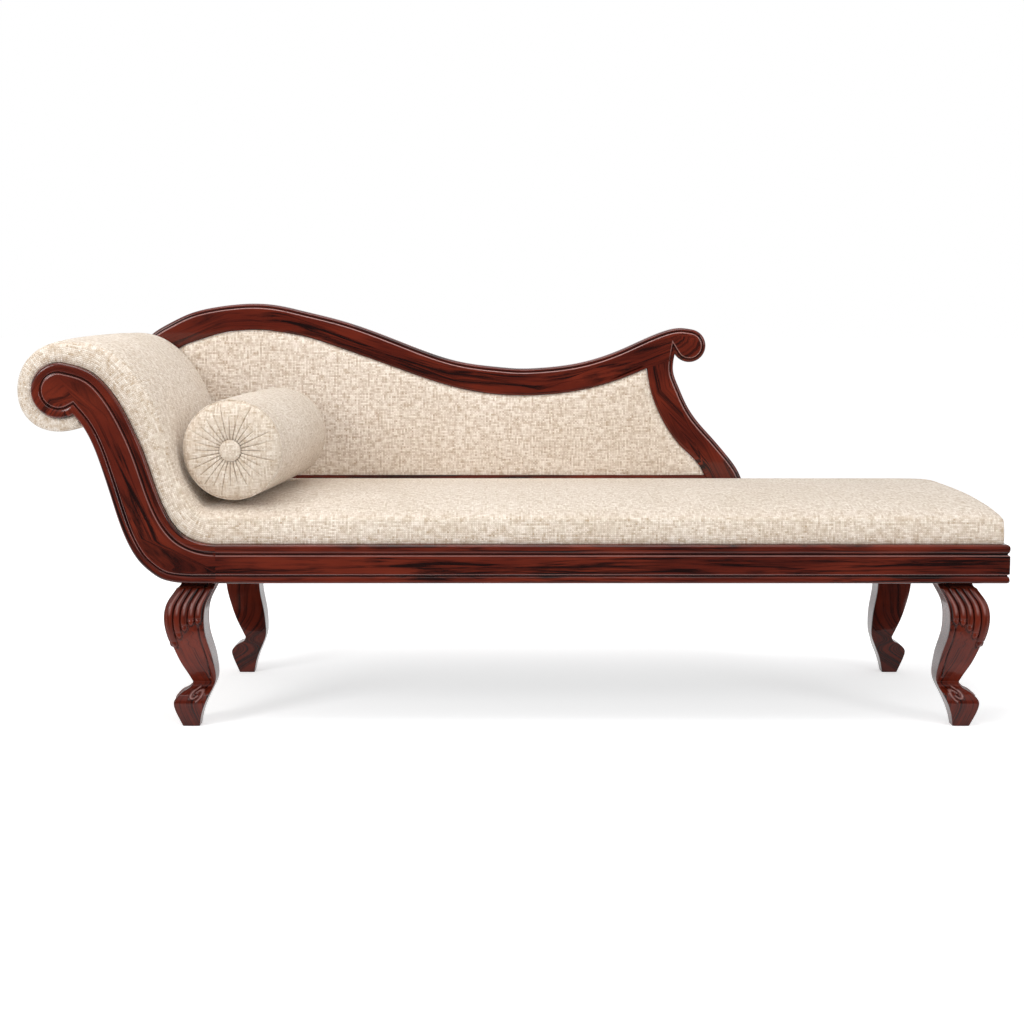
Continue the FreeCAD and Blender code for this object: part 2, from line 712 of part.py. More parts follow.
def back_frame():
    crest, stile, head, rail, opening, whole = back_faces()
    step = whole.cut(drawn_in(whole, CREST_STEP_W))
    step_tool = solid_between(step, RAIL_BACK - 1, RAIL_BACK + CREST_STEP_D)
    bolts = back_bolt_holes()
    dowels = crest_dowels() + stile_dowels()
    crest_solid = one(solid_between(crest, RAIL_BACK, BACK).cut(step_tool))
    seam = back_point((CREST_SEAM, 0)).x
    head_part = block(LEFT, seam, RAIL_BACK - 1, BACK + 1, RAIL_TOP, BACK_BASE + 2 * BACK_RISE)
    save("crest_rail_head", drill(crest_solid.common(head_part), dowels))
    save("crest_rail_scroll", drill(crest_solid.cut(head_part), dowels))
    save("back_stile_right", drill(solid_between(stile, RAIL_BACK, BACK).cut(step_tool), bolts + dowels))
    save("back_stile_head", drill(solid_between(head, RAIL_BACK, BACK), bolts + dowels))
    save("back_bottom_rail", solid_between(rail, RAIL_BACK, BACK))
    save("crest_dowels", group(dowels))
    whole_bolts = []
    for bolt in bolts:
        middle = bolt.BoundBox.Center
        head_of_bolt = rod(HEAD_R, V(middle.x, INNER_BACK - HEAD_T, middle.z), V(0, -1, 0), HEAD_T)
        whole_bolts.append(one(bolt.fuse(head_of_bolt).removeSplitter()))
    save("back_bolts", group(whole_bolts))
    return opening


def crest_dowels():
    """Two dowels across the seam in the crest."""
    seam = back_point((CREST_SEAM, CREST_SEAM_RISE))
    near = V(seam.x - DOWEL_L / 2, BACK - BACK_T / 2, seam.z)
    return [rod(DOWEL_R, near + V(0, 0, rise), V(1, 0, 0), DOWEL_L) for rise in (-CREST_W / 5, CREST_W / 5)]


def stile_dowels():
    """A dowel up from each stile into the crest."""
    rods = []
    for outer, inner in ((STILE_OUTER[0], STILE_INNER[0]), (HEAD_STILE_OUTER[0], HEAD_STILE_INNER[0])):
        middle = (back_point(outer) + back_point(inner)) * 0.5
        across = back_point(outer) - back_point(inner)
        along = V(across.z, 0, -across.x).normalize()
        base = V(middle.x, BACK - BACK_T / 2, middle.z) - along * (DOWEL_L / 2)
        rods.append(rod(DOWEL_R, base, along, DOWEL_L))
    return rods


def back_skin(opening, shift):
    """The space behind the crowned front of the back panel, moved back by shift."""
    places = [back_point(s) for s in CREST_INNER] + [back_point(s) for s in STILE_INNER[1:]]
    floor = RAIL_TOP + BACK_RAIL_LOW + BACK_RAIL_H
    places = [p for p in places if p.z > floor + BACK_EDGE]
    first = places[0].x
    last = places[-1].x
    sections = []
    for point in places:
        near_end = min(1.0, (BACK_EDGE + min(point.x - first, last - point.x)) / BACK_FADE)
        edge_y = RAIL_BACK + BACK_SINK + shift
        mid_y = edge_y - BACK_CROWN * near_end
        high = point.z + BACK_EDGE
        low = floor - BACK_EDGE
        bulge = arc(V(point.x, edge_y, low), V(point.x, mid_y, (low + high) / 2), V(point.x, edge_y, high))
        corners = [(edge_y, high), (BACK, high), (BACK, low), (edge_y, low)]
        rear = [V(point.x, y, z) for y, z in corners]
        sections.append(Part.Wire([bulge] + [edge(a, b) for a, b in zip(rear, rear[1:])]))
    front = Part.makeLoft(sections, True, True)
    prism = solid_between(drawn_in(opening, FIT), RAIL_BACK - BACK_CROWN, BOARD_FRONT)
    return one(prism.common(front))


def back_upholstery(opening):
    board = solid_between(drawn_in(opening, FIT), BOARD_FRONT, BOARD_FRONT + BOARD_T)
    save("back_board", board)
    cover = back_skin(opening, 0.0).cut(back_skin(opening, COVER_T))
    save("back_cover", one(cover))
    save("back_foam", back_skin(opening, COVER_T + FOAM_FIT))
    outer_face = BOARD_FRONT + BOARD_T
    save("back_outer_cover", solid_between(drawn_in(opening, FIT), outer_face, outer_face + COVER_T))


# Bolster, a loose round cushion laid across the couch
def turned(points):
    """A shape turned about the Y axis from (radius, along) points, where a list of two is an arc."""
    edges = []
    here = V(points[0][0], points[0][1], 0)
    for step in points[1:] + points[:1]:
        if isinstance(step, list):
            middle = V(step[0][0], step[0][1], 0)
            there = V(step[1][0], step[1][1], 0)
            edges.append(arc(here, middle, there))
        else:
            there = V(step[0], step[1], 0)
            if there.distanceToPoint(here) > 1e-6:
                edges.append(edge(here, there))
        here = there
    solid = Part.Face(Part.Wire(edges)).revolve(V(0, 0, 0), V(0, 1, 0), 360)
    if solid.Volume < 0:
        solid.reverse()
    return solid


def crowned(radius, rim, top):
    """The arc of a round crown from its rim in to the axis."""
    rise = top - rim
    ball = (radius ** 2 + rise ** 2) / (2 * rise)
    half = math.asin(radius / ball) / 2
    return [(ball * math.sin(half), top - ball + ball * math.cos(half)), (0.0, top)]


def placed(shape):
    """From the bolster's own axis to where it lies on the seat, turned a little from square."""
    result = shape.copy()
    result.rotate(V(0, 0, 0), V(0, 0, 1), -BOLSTER_TURN)
    result.translate(V(JOINT_X + BOLSTER_SET, BOLSTER_Y, seat_peak() + BOLSTER_R + FIT))
    return result


def other_end(shape):
    result = shape.copy()
    result.rotate(V(0, 0, 0), V(0, 0, 1), 180)
    return result


def bolster():
    seam = BOLSTER_LENGTH / 2 - BOLSTER_DOME
    seam_r = BOLSTER_R - BOLSTER_TAPER
    fill_in = COVER_T + FOAM_FIT
    tube = [
        (seam_r, -seam), [(BOLSTER_R, 0.0), (seam_r, seam)],
        (seam_r - COVER_T, seam), [(BOLSTER_R - COVER_T, 0.0), (seam_r - COVER_T, -seam)],
    ]
    save("bolster_cover", placed(turned(tube)))
    neck_r = BUTTON_R + BUTTON_GAP
    neck = seam + BOLSTER_DOME - END_CLOTH
    shoulder_r = seam_r * SHOULDER_SHARE
    shoulder = seam + BOLSTER_DOME * SHOULDER_RISE
    dimple = neck - DIMPLE

    def dome(back_off):
        """The solid under the gathered end, or under a layer back_off thick."""
        low = dimple - back_off
        flank = [(shoulder_r - back_off * 0.6, shoulder - back_off * 0.8), (seam_r - back_off, seam)]
        return turned([(0.0, low), (BUTTON_R / 2, low), (neck_r, neck - back_off), flank, (0.0, seam)])

    end_cap = one(dome(0.0).cut(dome(END_CLOTH)))
    for i in range(GATHERS):
        end_cap = end_cap.cut(gather(i, neck_r, neck, shoulder_r, shoulder))
    end_cap = one(end_cap)
    save("bolster_end_rear", placed(end_cap))
    save("bolster_end_front", placed(other_end(end_cap)))

    side = [(BOLSTER_R - fill_in, 0.0), (seam_r - fill_in, seam)]
    core = turned([(0.0, -seam), (seam_r - fill_in, -seam), side, (0.0, seam)])
    cap = dome(END_CLOTH + FOAM_FIT)
    fill = core.fuse(cap).fuse(other_end(cap))
    twine = rod(TWINE_R, V(0, -dimple, 0), V(0, 1, 0), 2 * dimple)
    save("bolster_fill", placed(drill(fill, [twine])))
    save("bolster_twine", placed(one(twine.common(fill))))
    seat = dimple + FIT
    crown = crowned(BUTTON_R, neck, dimple + BUTTON_T)
    rear_button = turned([(0.0, seat), (BUTTON_R / 2, seat), (BUTTON_R, neck), crown])
    save("bolster_buttons", group([placed(rear_button), placed(other_end(rear_button))]))


def gather(index, neck_r, neck, shoulder_r, shoulder):
    """The rod that presses one gather into the dome, from near the button towards the seam."""
    turn = 2 * math.pi * index / GATHERS
    reach = GATHER_REACH[index % len(GATHER_REACH)]
    start_r = neck_r + END_CLOTH
    inner = V(start_r, neck, 0)
    outer = V(start_r + (shoulder_r - neck_r) * reach, neck + (shoulder - neck) * reach ** 2, 0)
    cut = rod(GATHER_R, inner, outer - inner, (outer - inner).Length)
    cut.translate(V(0, GATHER_R - GATHER_D, 0))
    cut.rotate(V(0, 0, 0), V(0, 1, 0), math.degrees(turn))
    return cut


sides_and_rails()
cross_members()
legs()
upholstery()
back_upholstery(back_frame())
bolster()
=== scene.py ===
import bpy
import math
import numpy as np
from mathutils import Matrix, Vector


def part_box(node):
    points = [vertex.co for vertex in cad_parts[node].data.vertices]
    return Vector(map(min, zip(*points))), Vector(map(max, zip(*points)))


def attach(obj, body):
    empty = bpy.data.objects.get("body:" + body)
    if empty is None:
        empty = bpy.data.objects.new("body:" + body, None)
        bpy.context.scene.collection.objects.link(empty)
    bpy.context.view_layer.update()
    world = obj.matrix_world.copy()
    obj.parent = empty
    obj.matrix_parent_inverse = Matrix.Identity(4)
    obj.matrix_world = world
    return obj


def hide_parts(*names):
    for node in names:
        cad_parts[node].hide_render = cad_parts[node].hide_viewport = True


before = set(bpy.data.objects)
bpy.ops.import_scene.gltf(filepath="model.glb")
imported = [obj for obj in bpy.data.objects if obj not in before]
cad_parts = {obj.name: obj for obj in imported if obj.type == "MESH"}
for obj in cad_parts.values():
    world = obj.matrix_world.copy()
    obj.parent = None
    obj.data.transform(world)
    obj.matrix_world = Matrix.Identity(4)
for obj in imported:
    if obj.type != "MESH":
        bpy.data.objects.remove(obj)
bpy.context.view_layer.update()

scene = bpy.context.scene
scene.view_settings.view_transform = "Standard"
MM = 0.001

# The studio: a pale floor that runs out of sight, a white surround, and soft lamps overhead and in front, to the left
# and to the right. The camera stands 4 m in front of the couch, a little above its crest, and looks slightly down.
CAMERA_AT, CAMERA_TILT = (-0.0035, -4.0145, 0.847), 83.453
FOCAL_LENGTH, SENSOR_WIDTH = 68.0, 36.0
WHITE, BLACK = (1.0, 1.0, 1.0, 1.0), (0.0, 0.0, 0.0, 1.0)
FLOOR_COLOUR, FLOOR_HALF, FLOOR_GLOW = (0.86, 0.86, 0.865, 1.0), 30.0, 0.56
SURROUND_LIGHT = 0.55
# The room is dim on the camera's side, so polished faces turned that way keep their depth of colour. It fades between
# two places on the floor, in metres, and between two directions of the surround.
DIM_SIDE, DIM_FLOOR, DIM_SURROUND = 0.1, (-0.9, -0.45), (-0.9, -0.5)

camera_data = bpy.data.cameras.new("studio_camera")
camera_data.lens = FOCAL_LENGTH
camera_data.sensor_width = SENSOR_WIDTH
camera = bpy.data.objects.new("studio_camera", camera_data)
camera.location = CAMERA_AT
camera.rotation_euler = (math.radians(CAMERA_TILT), 0.0, 0.0)
scene.collection.objects.link(camera)
scene.camera = camera


def new_material(name):
    """A material with an empty node tree, that tree and its output node."""
    material = bpy.data.materials.new(name)
    material.use_nodes = True
    tree = material.node_tree
    tree.nodes.clear()
    return material, tree, tree.nodes.new("ShaderNodeOutputMaterial")


def feed(tree, node, inputs):
    """Gives each input of a node a value or the socket that feeds it."""
    for key, value in inputs.items():
        if isinstance(value, bpy.types.NodeSocket):
            tree.links.new(value, node.inputs[key])
        else:
            node.inputs[key].default_value = value
    return node


def add_node(tree, kind, inputs=None, **settings):
    """A shader node with its settings and its inputs."""
    node = tree.nodes.new("ShaderNode" + kind)
    for key, value in settings.items():
        setattr(node, key, value)
    return feed(tree, node, inputs or {})


def maths(tree, operation, first, second=0.0, third=0.0):
    """One step of arithmetic between sockets or numbers."""
    return add_node(tree, "Math", {0: first, 1: second, 2: third}, operation=operation).outputs[0]


def ramp(tree, value, low, high, start=0.0, end=1.0):
    """A value spread smoothly from low..high to start..end, and held inside it."""
    spread = {0: value, 1: low, 2: high, 3: start, 4: end}
    return add_node(tree, "MapRange", spread, interpolation_type="SMOOTHSTEP").outputs[0]


def seen_directly(tree):
    """1 where the camera, a reflection or a clear material looks at the surround, and 0 for its light."""
    path = add_node(tree, "LightPath")
    direct = maths(tree, "MAXIMUM", path.outputs["Is Camera Ray"], path.outputs["Is Glossy Ray"])
    return maths(tree, "MAXIMUM", direct, path.outputs["Is Transmission Ray"])


floor_material, tree, output = new_material("pale_floor")
matt = add_node(tree, "BsdfDiffuse", {"Color": FLOOR_COLOUR})
glow_strength = maths(tree, "MULTIPLY", seen_directly(tree), FLOOR_GLOW)
glow = add_node(tree, "Emission", {"Color": WHITE, "Strength": glow_strength})
both = add_node(tree, "AddShader", {0: matt.outputs[0], 1: glow.outputs[0]})
place_y = add_node(tree, "SeparateXYZ", {0: add_node(tree, "NewGeometry").outputs["Position"]}).outputs["Y"]
near_side = ramp(tree, place_y, *DIM_FLOOR, start=1.0, end=0.0)
dimmed = maths(tree, "MULTIPLY", add_node(tree, "LightPath").outputs["Is Glossy Ray"], near_side)
dim_floor = add_node(tree, "Emission", {"Color": WHITE, "Strength": DIM_SIDE})
seen = add_node(tree, "MixShader", {0: dimmed, 1: both.outputs[0], 2: dim_floor.outputs[0]})
tree.links.new(seen.outputs[0], output.inputs["Surface"])

floor_mesh = bpy.data.meshes.new("floor")
corners = [(x * FLOOR_HALF, y * FLOOR_HALF, 0) for x, y in ((-1, -1), (1, -1), (1, 1), (-1, 1))]
floor_mesh.from_pydata(corners, [], [(0, 1, 2, 3)])
floor_mesh.materials.append(floor_material)
floor = bpy.data.objects.new("floor", floor_mesh)
scene.collection.objects.link(floor)

world = bpy.data.worlds.new("white_surround")
world.use_nodes = True
tree = world.node_tree
strength = maths(tree, "MULTIPLY_ADD", seen_directly(tree), 1.0 - SURROUND_LIGHT, SURROUND_LIGHT)
direction = add_node(tree, "TexCoord").outputs["Generated"]
away = add_node(tree, "SeparateXYZ", {0: direction}).outputs["Y"]
open_side = ramp(tree, away, *DIM_SURROUND, start=DIM_SIDE, end=1.0)
reflected = add_node(tree, "LightPath").outputs["Is Glossy Ray"]
strength = add_node(tree, "Mix", {0: reflected, 2: strength, 3: open_side}, data_type="FLOAT").outputs[0]
feed(tree, tree.nodes["Background"], {"Color": WHITE, "Strength": strength})
scene.world = world

# each lamp's name, place and aim in metres, width, height and watts
for name, place, target, width, height, power in (
    ("lamp_overhead", (-0.3, -0.6, 3.0), (0.0, 0.0, 0.4), 2.6, 1.2, 46),
    ("lamp_front_left", (-2.6, -3.0, 2.2), (-0.2, 0.0, 0.4), 1.0, 1.6, 52),
    ("lamp_front_right", (2.8, -3.0, 1.6), (0.3, 0.0, 0.4), 0.9, 1.6, 26),
):
    lamp = bpy.data.lights.new(name, "AREA")
    lamp.shape = "RECTANGLE"
    lamp.size = width
    lamp.size_y = height
    lamp.energy = power
    stand = bpy.data.objects.new(name, lamp)
    stand.location = place
    aim = np.array(target) - np.array(place)
    pitch = math.atan2(math.hypot(aim[0], aim[1]), -aim[2])
    stand.rotation_euler = (pitch, 0.0, math.atan2(-aim[0], aim[1]))
    scene.collection.objects.link(stand)

# The couch's frame inside the show wood: sawn hardwood rails, bearers, slats, blocks and dowels, and a turned core in
# the roll. None of it is polished, because upholstery covers it.
PLAIN_WOOD = (0.42, 0.27, 0.15, 1.0)
PLAIN_WOOD_DARK = (0.27, 0.155, 0.075, 1.0)
# Length and width, in metres, of the wood's broad streaks, its narrow ones and its pores
BROAD_STREAK, NARROW_STREAK, PORE = (0.26, 0.016), (0.12, 0.0045), (0.03, 0.0009)
BROAD_SHARE, PORE_SHARE = 0.68, 0.18


def group_tree(name, inputs, outputs):
    """A node group with named inputs (kind, default) and outputs, and the two nodes inside it that carry them."""
    group = bpy.data.node_groups.new(name, "ShaderNodeTree")
    for label, (kind, value) in inputs.items():
        socket = group.interface.new_socket(label, in_out="INPUT", socket_type="NodeSocket" + kind)
        if value is not None:
            socket.default_value = value
    for label, kind in outputs.items():
        group.interface.new_socket(label, in_out="OUTPUT", socket_type="NodeSocket" + kind)
    return group, group.nodes.new("NodeGroupInput"), group.nodes.new("NodeGroupOutput")


def use_group(tree, group, inputs):
    """Places a node group in a material, with its inputs."""
    node = tree.nodes.new("ShaderNodeGroup")
    node.node_tree = group
    return feed(tree, node, inputs)


def mixed(tree, factor, first, second):
    """A colour between two others."""
    return add_node(tree, "Mix", {0: factor, 6: first, 7: second}, data_type="RGBA").outputs[2]


def tinted(tree, colour, tint):
    """A colour seen through another."""
    return add_node(tree, "Mix", {0: 1.0, 6: colour, 7: tint}, data_type="RGBA", blend_type="MULTIPLY").outputs[2]


def stretched_noise(tree, place, along, across, detail=4.0, roughness=0.55, twist=0.0):
    """Noise drawn out along the first axis: a streak is `along` metres long and `across` wide."""
    stretch = add_node(tree, "Mapping", {"Vector": place, "Scale": (1 / along, 1 / across, 1 / across)})
    return add_node(tree, "TexNoise", {
        "Vector": stretch.outputs[0], "Scale": 1.0, "Detail": detail, "Roughness": roughness, "Distortion": twist,
    }).outputs[0]


def grain_group():
    """Wood figure: broad dark streaks, fine pores and a slow change of tone, all along the first axis of Place."""
    group, given, result = group_tree(
        "wood_grain",
        {"Place": ("Vector", None), "Light": ("Color", WHITE), "Dark": ("Color", BLACK), "Streaks": ("Float", 0.5)},
        {"Colour": "Color", "Pores": "Float", "Figure": "Float"},
    )
    place = given.outputs["Place"]
    broad = stretched_noise(group, place, *BROAD_STREAK, detail=5.0, roughness=0.6, twist=1.2)
    narrow = stretched_noise(group, place, *NARROW_STREAK, detail=4.0, roughness=0.6, twist=0.5)
    fine = stretched_noise(group, place, *PORE, detail=2.0, roughness=0.5)
    figure = maths(group, "ADD", maths(group, "MULTIPLY", broad, BROAD_SHARE),
                   maths(group, "MULTIPLY", narrow, 1.0 - BROAD_SHARE))
    # more Streaks means that darker wood begins at a lower value of the figure
    edge = maths(group, "SUBTRACT", 0.66, maths(group, "MULTIPLY", given.outputs["Streaks"], 0.32))
    streak = ramp(group, figure, edge, maths(group, "ADD", edge, 0.2))
    pores = ramp(group, fine, 0.52, 0.75)
    depth = maths(group, "ADD", streak, maths(group, "MULTIPLY", pores, PORE_SHARE))
    colour = mixed(group, maths(group, "MINIMUM", depth, 1.0), given.outputs["Light"], given.outputs["Dark"])
    feed(group, result, {"Colour": colour, "Pores": pores, "Figure": figure})
    return group


wood_grain = grain_group()


def plain_wood_material(name, light, dark, turned=(0.0, 0.0, 0.0)):
    """Unpolished sawn wood; turned is the turn that brings its length to the first axis."""
    material, tree, output = new_material(name)
    where = add_node(tree, "TexCoord").outputs["Object"]
    place = add_node(tree, "Mapping", {"Vector": where, "Rotation": turned}).outputs[0]
    grain = use_group(tree, wood_grain, {"Place": place, "Light": light, "Dark": dark, "Streaks": 0.35})
    bump = add_node(tree, "Bump", {"Height": grain.outputs["Pores"], "Strength": 0.35, "Distance": 0.0006}, invert=True)
    rough = maths(tree, "MULTIPLY_ADD", grain.outputs["Figure"], 0.2, 0.55)
    shader = add_node(tree, "BsdfPrincipled", {
        "Base Color": grain.outputs["Colour"], "Roughness": rough, "Normal": bump.outputs[0],
    })
    tree.links.new(shader.outputs[0], output.inputs["Surface"])
    return material


def finish_nodes(material, *names):
    """Gives CAD nodes that keep their own shape a better material."""
    for name in names:
        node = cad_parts[name]
        node.data.materials.clear()
        node.data.materials.append(material)


QUARTER = math.pi / 2
wood_along_x = plain_wood_material("sawn_wood_along", PLAIN_WOOD, PLAIN_WOOD_DARK)
wood_along_y = plain_wood_material("sawn_wood_across", PLAIN_WOOD, PLAIN_WOOD_DARK, (0.0, 0.0, -QUARTER))
finish_nodes(wood_along_x, "front_scroll_side", "front_seat_rail", "rail_dowels", "corner_blocks")
finish_nodes(
    wood_along_y, "end_seat_rail", "head_seat_rail", "head_tie_rail", "roll_core", "seat_bearers", "head_slats")

# The show wood of the front: a scrolled board for the head end and a straight rail that carries on from it, both with
# a rounded bead and a narrow groove along each edge. Deep red mahogany, stained and lacquered to a high gloss.
LENGTH, DEPTH, LEG_HEIGHT, RAIL_HEIGHT = 1910.0, 658.0, 284.5, 75.5
RIGHT, FRONT, BACK = LENGTH / 2, -DEPTH / 2, DEPTH / 2
RAIL_TOP = LEG_HEIGHT + RAIL_HEIGHT
MOULD_T, BACK_T = 22.0, 38.0
VOLUTE_R, VOLUTE_X, VOLUTE_Z = 53.0, -868.5, 656.5
HEAD_REACH, VOLUTE_RISE = 294.0, 296.5
JOINT_X = VOLUTE_X + HEAD_REACH
RAIL_BACK = BACK - BACK_T
NOTCH_ANGLE, CREST_ANGLE = -60.0, 80.0
SCROLL_UPPER = [
    (0.788, 1.117), (0.662, 0.992), (0.537, 0.776), (0.476, 0.634), (0.414, 0.450), (0.353, 0.275),
    (0.290, 0.151), (0.227, 0.077), (0.162, 0.036), (0.100, 0.0135), (0.045, 0.003),
]
SCROLL_LOWER = [
    (0.861, 0.829), (0.799, 0.742), (0.738, 0.611), (0.678, 0.455), (0.617, 0.297), (0.556, 0.183),
    (0.492, 0.107), (0.428, 0.060), (0.363, 0.026), (0.298, 0.010), (0.229, 0.003), (0.160, 0.0),
]
# How far in from the edge and how high above the face each line of the moulding runs, from its back to the field
BEAD_PROFILE = [
    (0.0, -22.0), (0.0, -7.0), (0.3, -4.6), (1.2, -2.6), (2.9, -1.0), (5.2, -0.2), (7.6, 0.0), (10.2, -0.15),
    (12.8, -0.65), (15.0, -1.5), (16.3, -2.5), (17.0, -3.6), (18.9, -3.9), (20.2, -3.4), (20.9, -1.9), (21.6, -0.6),
    (22.6, -0.1), (24.2, 0.0), (27.0, 0.0),
]
NARROW_BEAD = 0.84
GROOVE_EDGE = 0.6


def distance_along(line):
    """How far each point of a line is from its start, measured along it."""
    return np.concatenate([[0.0], np.cumsum(np.linalg.norm(np.diff(line, axis=0), axis=1))])


def smooth_line(points, step):
    """Points about a step apart along the smooth curve through the given ones, in two or three dimensions."""
    knots = np.array(points, float)
    spans = np.linalg.norm(np.diff(knots, axis=0), axis=1)
    at = distance_along(knots)
    count = len(knots)
    left = np.zeros((count, count))
    right = np.zeros_like(knots)
    left[0, :2] = (2, 1)
    left[-1, -2:] = (1, 2)
    right[0] = 3 * (knots[1] - knots[0]) / spans[0]
    right[-1] = 3 * (knots[-1] - knots[-2]) / spans[-1]
    for i in range(1, count - 1):
        before, after = spans[i - 1], spans[i]
        left[i, i - 1:i + 2] = (after, 2 * (before + after), before)
        right[i] = 3 * (after * (knots[i] - knots[i - 1]) / before + before * (knots[i + 1] - knots[i]) / after)
    slope = np.linalg.solve(left, right)
    places = np.linspace(0.0, at[-1], max(2, int(at[-1] / step) + 1))
    span = np.clip(np.searchsorted(at, places, side="right") - 1, 0, count - 2)
    width = spans[span][:, None]
    t = ((places - at[span]) / spans[span])[:, None]
    return ((1 + 2 * t) * (1 - t) ** 2 * knots[span] + t * (1 - t) ** 2 * width * slope[span]
            + t ** 2 * (3 - 2 * t) * knots[span + 1] + t ** 2 * (t - 1) * width * slope[span + 1])


def round_point(centre, radius, angle):
    """The point of a circle at an angle in degrees."""
    turn = math.radians(angle)
    return np.array(centre) + radius * np.array([math.cos(turn), math.sin(turn)])


def round_line(centre, radius, first, last, step):
    """Points along an arc from one angle to another, in degrees."""
    count = max(2, int(abs(math.radians(last - first)) * radius / step) + 1)
    turns = np.radians(np.linspace(first, last, count))
    return np.array(centre) + radius * np.column_stack([np.cos(turns), np.sin(turns)])


def grid_faces(rows, count, base=0, closed=False, flipped=False):
    """Faces between rows of points that follow each other from base; closed joins each row's ends."""
    faces = []
    for near in range(base, base + (rows - 1) * count, count):
        far = near + count
        for k in range(count if closed else count - 1):
            m = (k + 1) % count
            faces.append((near + k, far + k, far + m, near + m) if flipped else (near + k, near + m, far + m, far + k))
    return faces


def mesh_piece(name, points, faces, uvs, material, crease=35.0):
    """A piece from points in millimetres and faces, with texture places in metres for each point."""
    mesh = bpy.data.meshes.new(name)
    mesh.from_pydata((np.asarray(points, float) * MM).tolist(), [], faces)
    corners = np.empty(len(mesh.loops), dtype=np.int32)
    mesh.loops.foreach_get("vertex_index", corners)
    layer = mesh.uv_layers.new(name="UVMap")
    layer.data.foreach_set("uv", (np.asarray(uvs, float) * MM)[corners].ravel())
    mesh.polygons.foreach_set("use_smooth", [True] * len(mesh.polygons))
    mesh.set_sharp_from_angle(angle=math.radians(crease))
    mesh.materials.append(material)
    piece = bpy.data.objects.new(name, mesh)
    scene.collection.objects.link(piece)
    return piece


def mark_painted_light(piece, values):
    """Marks painted shade (-1) and painted highlights (1) on a piece, for the lacquered wood."""
    painted_mark = piece.data.attributes.new("painted_light", "FLOAT", "POINT")
    painted_mark.data.foreach_set("value", np.asarray(values, np.float32))
    return piece


def profile_painted_light(profile):
    """Painted shade in the first groove of a moulding's profile and a painted highlight on the edge just past it, row
    by row.
    """
    painted_light = [0.0] * len(profile)
    inside = range(1, len(profile) - 1)
    groove = next((k for k in inside if profile[k - 1][1] > profile[k][1] < profile[k + 1][1]), None)
    if groove is not None:
        painted_light[groove - 1] = painted_light[groove] = -1.0
        edge = next(k for k in range(groove + 1, len(profile)) if profile[k][1] > profile[groove][1] + GROOVE_EDGE)
        painted_light[edge] = painted_light[min(edge + 1, len(profile) - 1)] = 1.0
    return painted_light


def declare(piece, body, slot, *nodes):
    """Hangs a piece on its body's empty and hides the CAD nodes it stands for; slot, which would name its finish, is
    not used.
    """
    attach(piece, body)
    if nodes:
        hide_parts(*nodes)
    return piece


def along_and_across(points, line):
    """Each point's distance along a line, and how far it lies to the side of it."""
    points = np.asarray(points, float)
    start, step = line[:-1], np.diff(line, axis=0)
    length = np.linalg.norm(step, axis=1)
    at = distance_along(line)[:-1]
    reach = points[:, None, :] - start[None, :, :]
    share = np.clip((reach * step).sum(2) / (length ** 2), 0, 1)
    off = reach - share[..., None] * step
    best = np.linalg.norm(off, axis=2).argmin(1)
    rows = np.arange(len(points))
    side = np.sign(step[best, 0] * reach[rows, best, 1] - step[best, 1] * reach[rows, best, 0])
    across = side * np.linalg.norm(off[rows, best], axis=1)
    return np.column_stack([at[best] + share[rows, best] * length[best], across])


NEARLY_STRAIGHT = 0.02


def moulded_board(name, chains, face_y, thick, grain_line, material):
    """A sawn board with moulded edges.

    chains go round its outline as (points in x and z, profile), and a profile of None is a plain joint to the next
    board. A profile is a list of (distance in from the edge, height above the face), all of them equally long.
    """
    outline, profiles = [], []
    for points, profile in chains:
        points = np.asarray(points, float)
        outline.extend(points[:-1])
        profiles.extend([profile] * (len(points) - 1))
    outline = np.array(outline)
    count = len(outline)
    step = np.roll(outline, -1, axis=0) - outline
    step /= np.linalg.norm(step, axis=1)[:, None]
    inward = np.column_stack([step[:, 1], -step[:, 0]])
    rows = len(next(p for p in profiles if p))
    lines = np.zeros((rows, count, 3))
    for i in range(count):
        before, after = profiles[i - 1], profiles[i]
        first, second = inward[i - 1], inward[i]
        turn = first[0] * second[1] - first[1] * second[0]
        for k in range(rows):
            d1 = before[k][0] if before else 0.0
            d2 = after[k][0] if after else 0.0
            if abs(turn) > NEARLY_STRAIGHT:
                shift = np.array([d1 * second[1] - d2 * first[1], d2 * first[0] - d1 * second[0]]) / turn
            else:
                shift = (first + second) / 2 * (d1 + d2) / 2
            height = max(p[k][1] for p in (before, after) if p)
            x, z = outline[i] + shift
            lines[k, i] = (x, face_y - height, z)
    points = lines.reshape(-1, 3)
    faces = []
    for i in range(count):
        j = (i + 1) % count
        if profiles[i]:
            for k in range(rows - 1):
                faces.append((k * count + i, k * count + j, (k + 1) * count + j, (k + 1) * count + i))
    # the board's ends at each joint, its flat face and its back
    for i in range(count):
        if not profiles[i] and profiles[i - 1]:
            last = i
            while not profiles[last % count]:
                last += 1
            joint = [k * count + i for k in range(rows)]
            joint += [k * count + last % count for k in reversed(range(rows))]
            faces.append(joint)
    faces.append([(rows - 1) * count + i for i in range(count)])
    faces.append(list(reversed(range(count))))
    uvs = along_and_across(points[:, [0, 2]], grain_line)
    # painted shade in each groove and a painted highlight on the edge past it, row by row
    painted_light = np.array([profile_painted_light(profile) if profile else [0.0] * rows for profile in profiles]).T
    return mark_painted_light(mesh_piece(name, points, faces, uvs, material), painted_light.ravel())


# Painted shade in a groove and a painted highlight on an edge, with how much of each shows
PAINTED_SHADE, PAINTED_SHADE_SHARE = (0.006, 0.0016, 0.0014, 1.0), 0.85
PAINTED_HIGHLIGHT, PAINTED_HIGHLIGHT_SHARE = (0.36, 0.19, 0.17, 1.0), 0.75
CLOUDED, CLOUD = (0.62, 0.55, 0.6, 1.0), (0.2, 0.1)
LACQUER_COAT, LEG_COAT = 0.55, 0.28


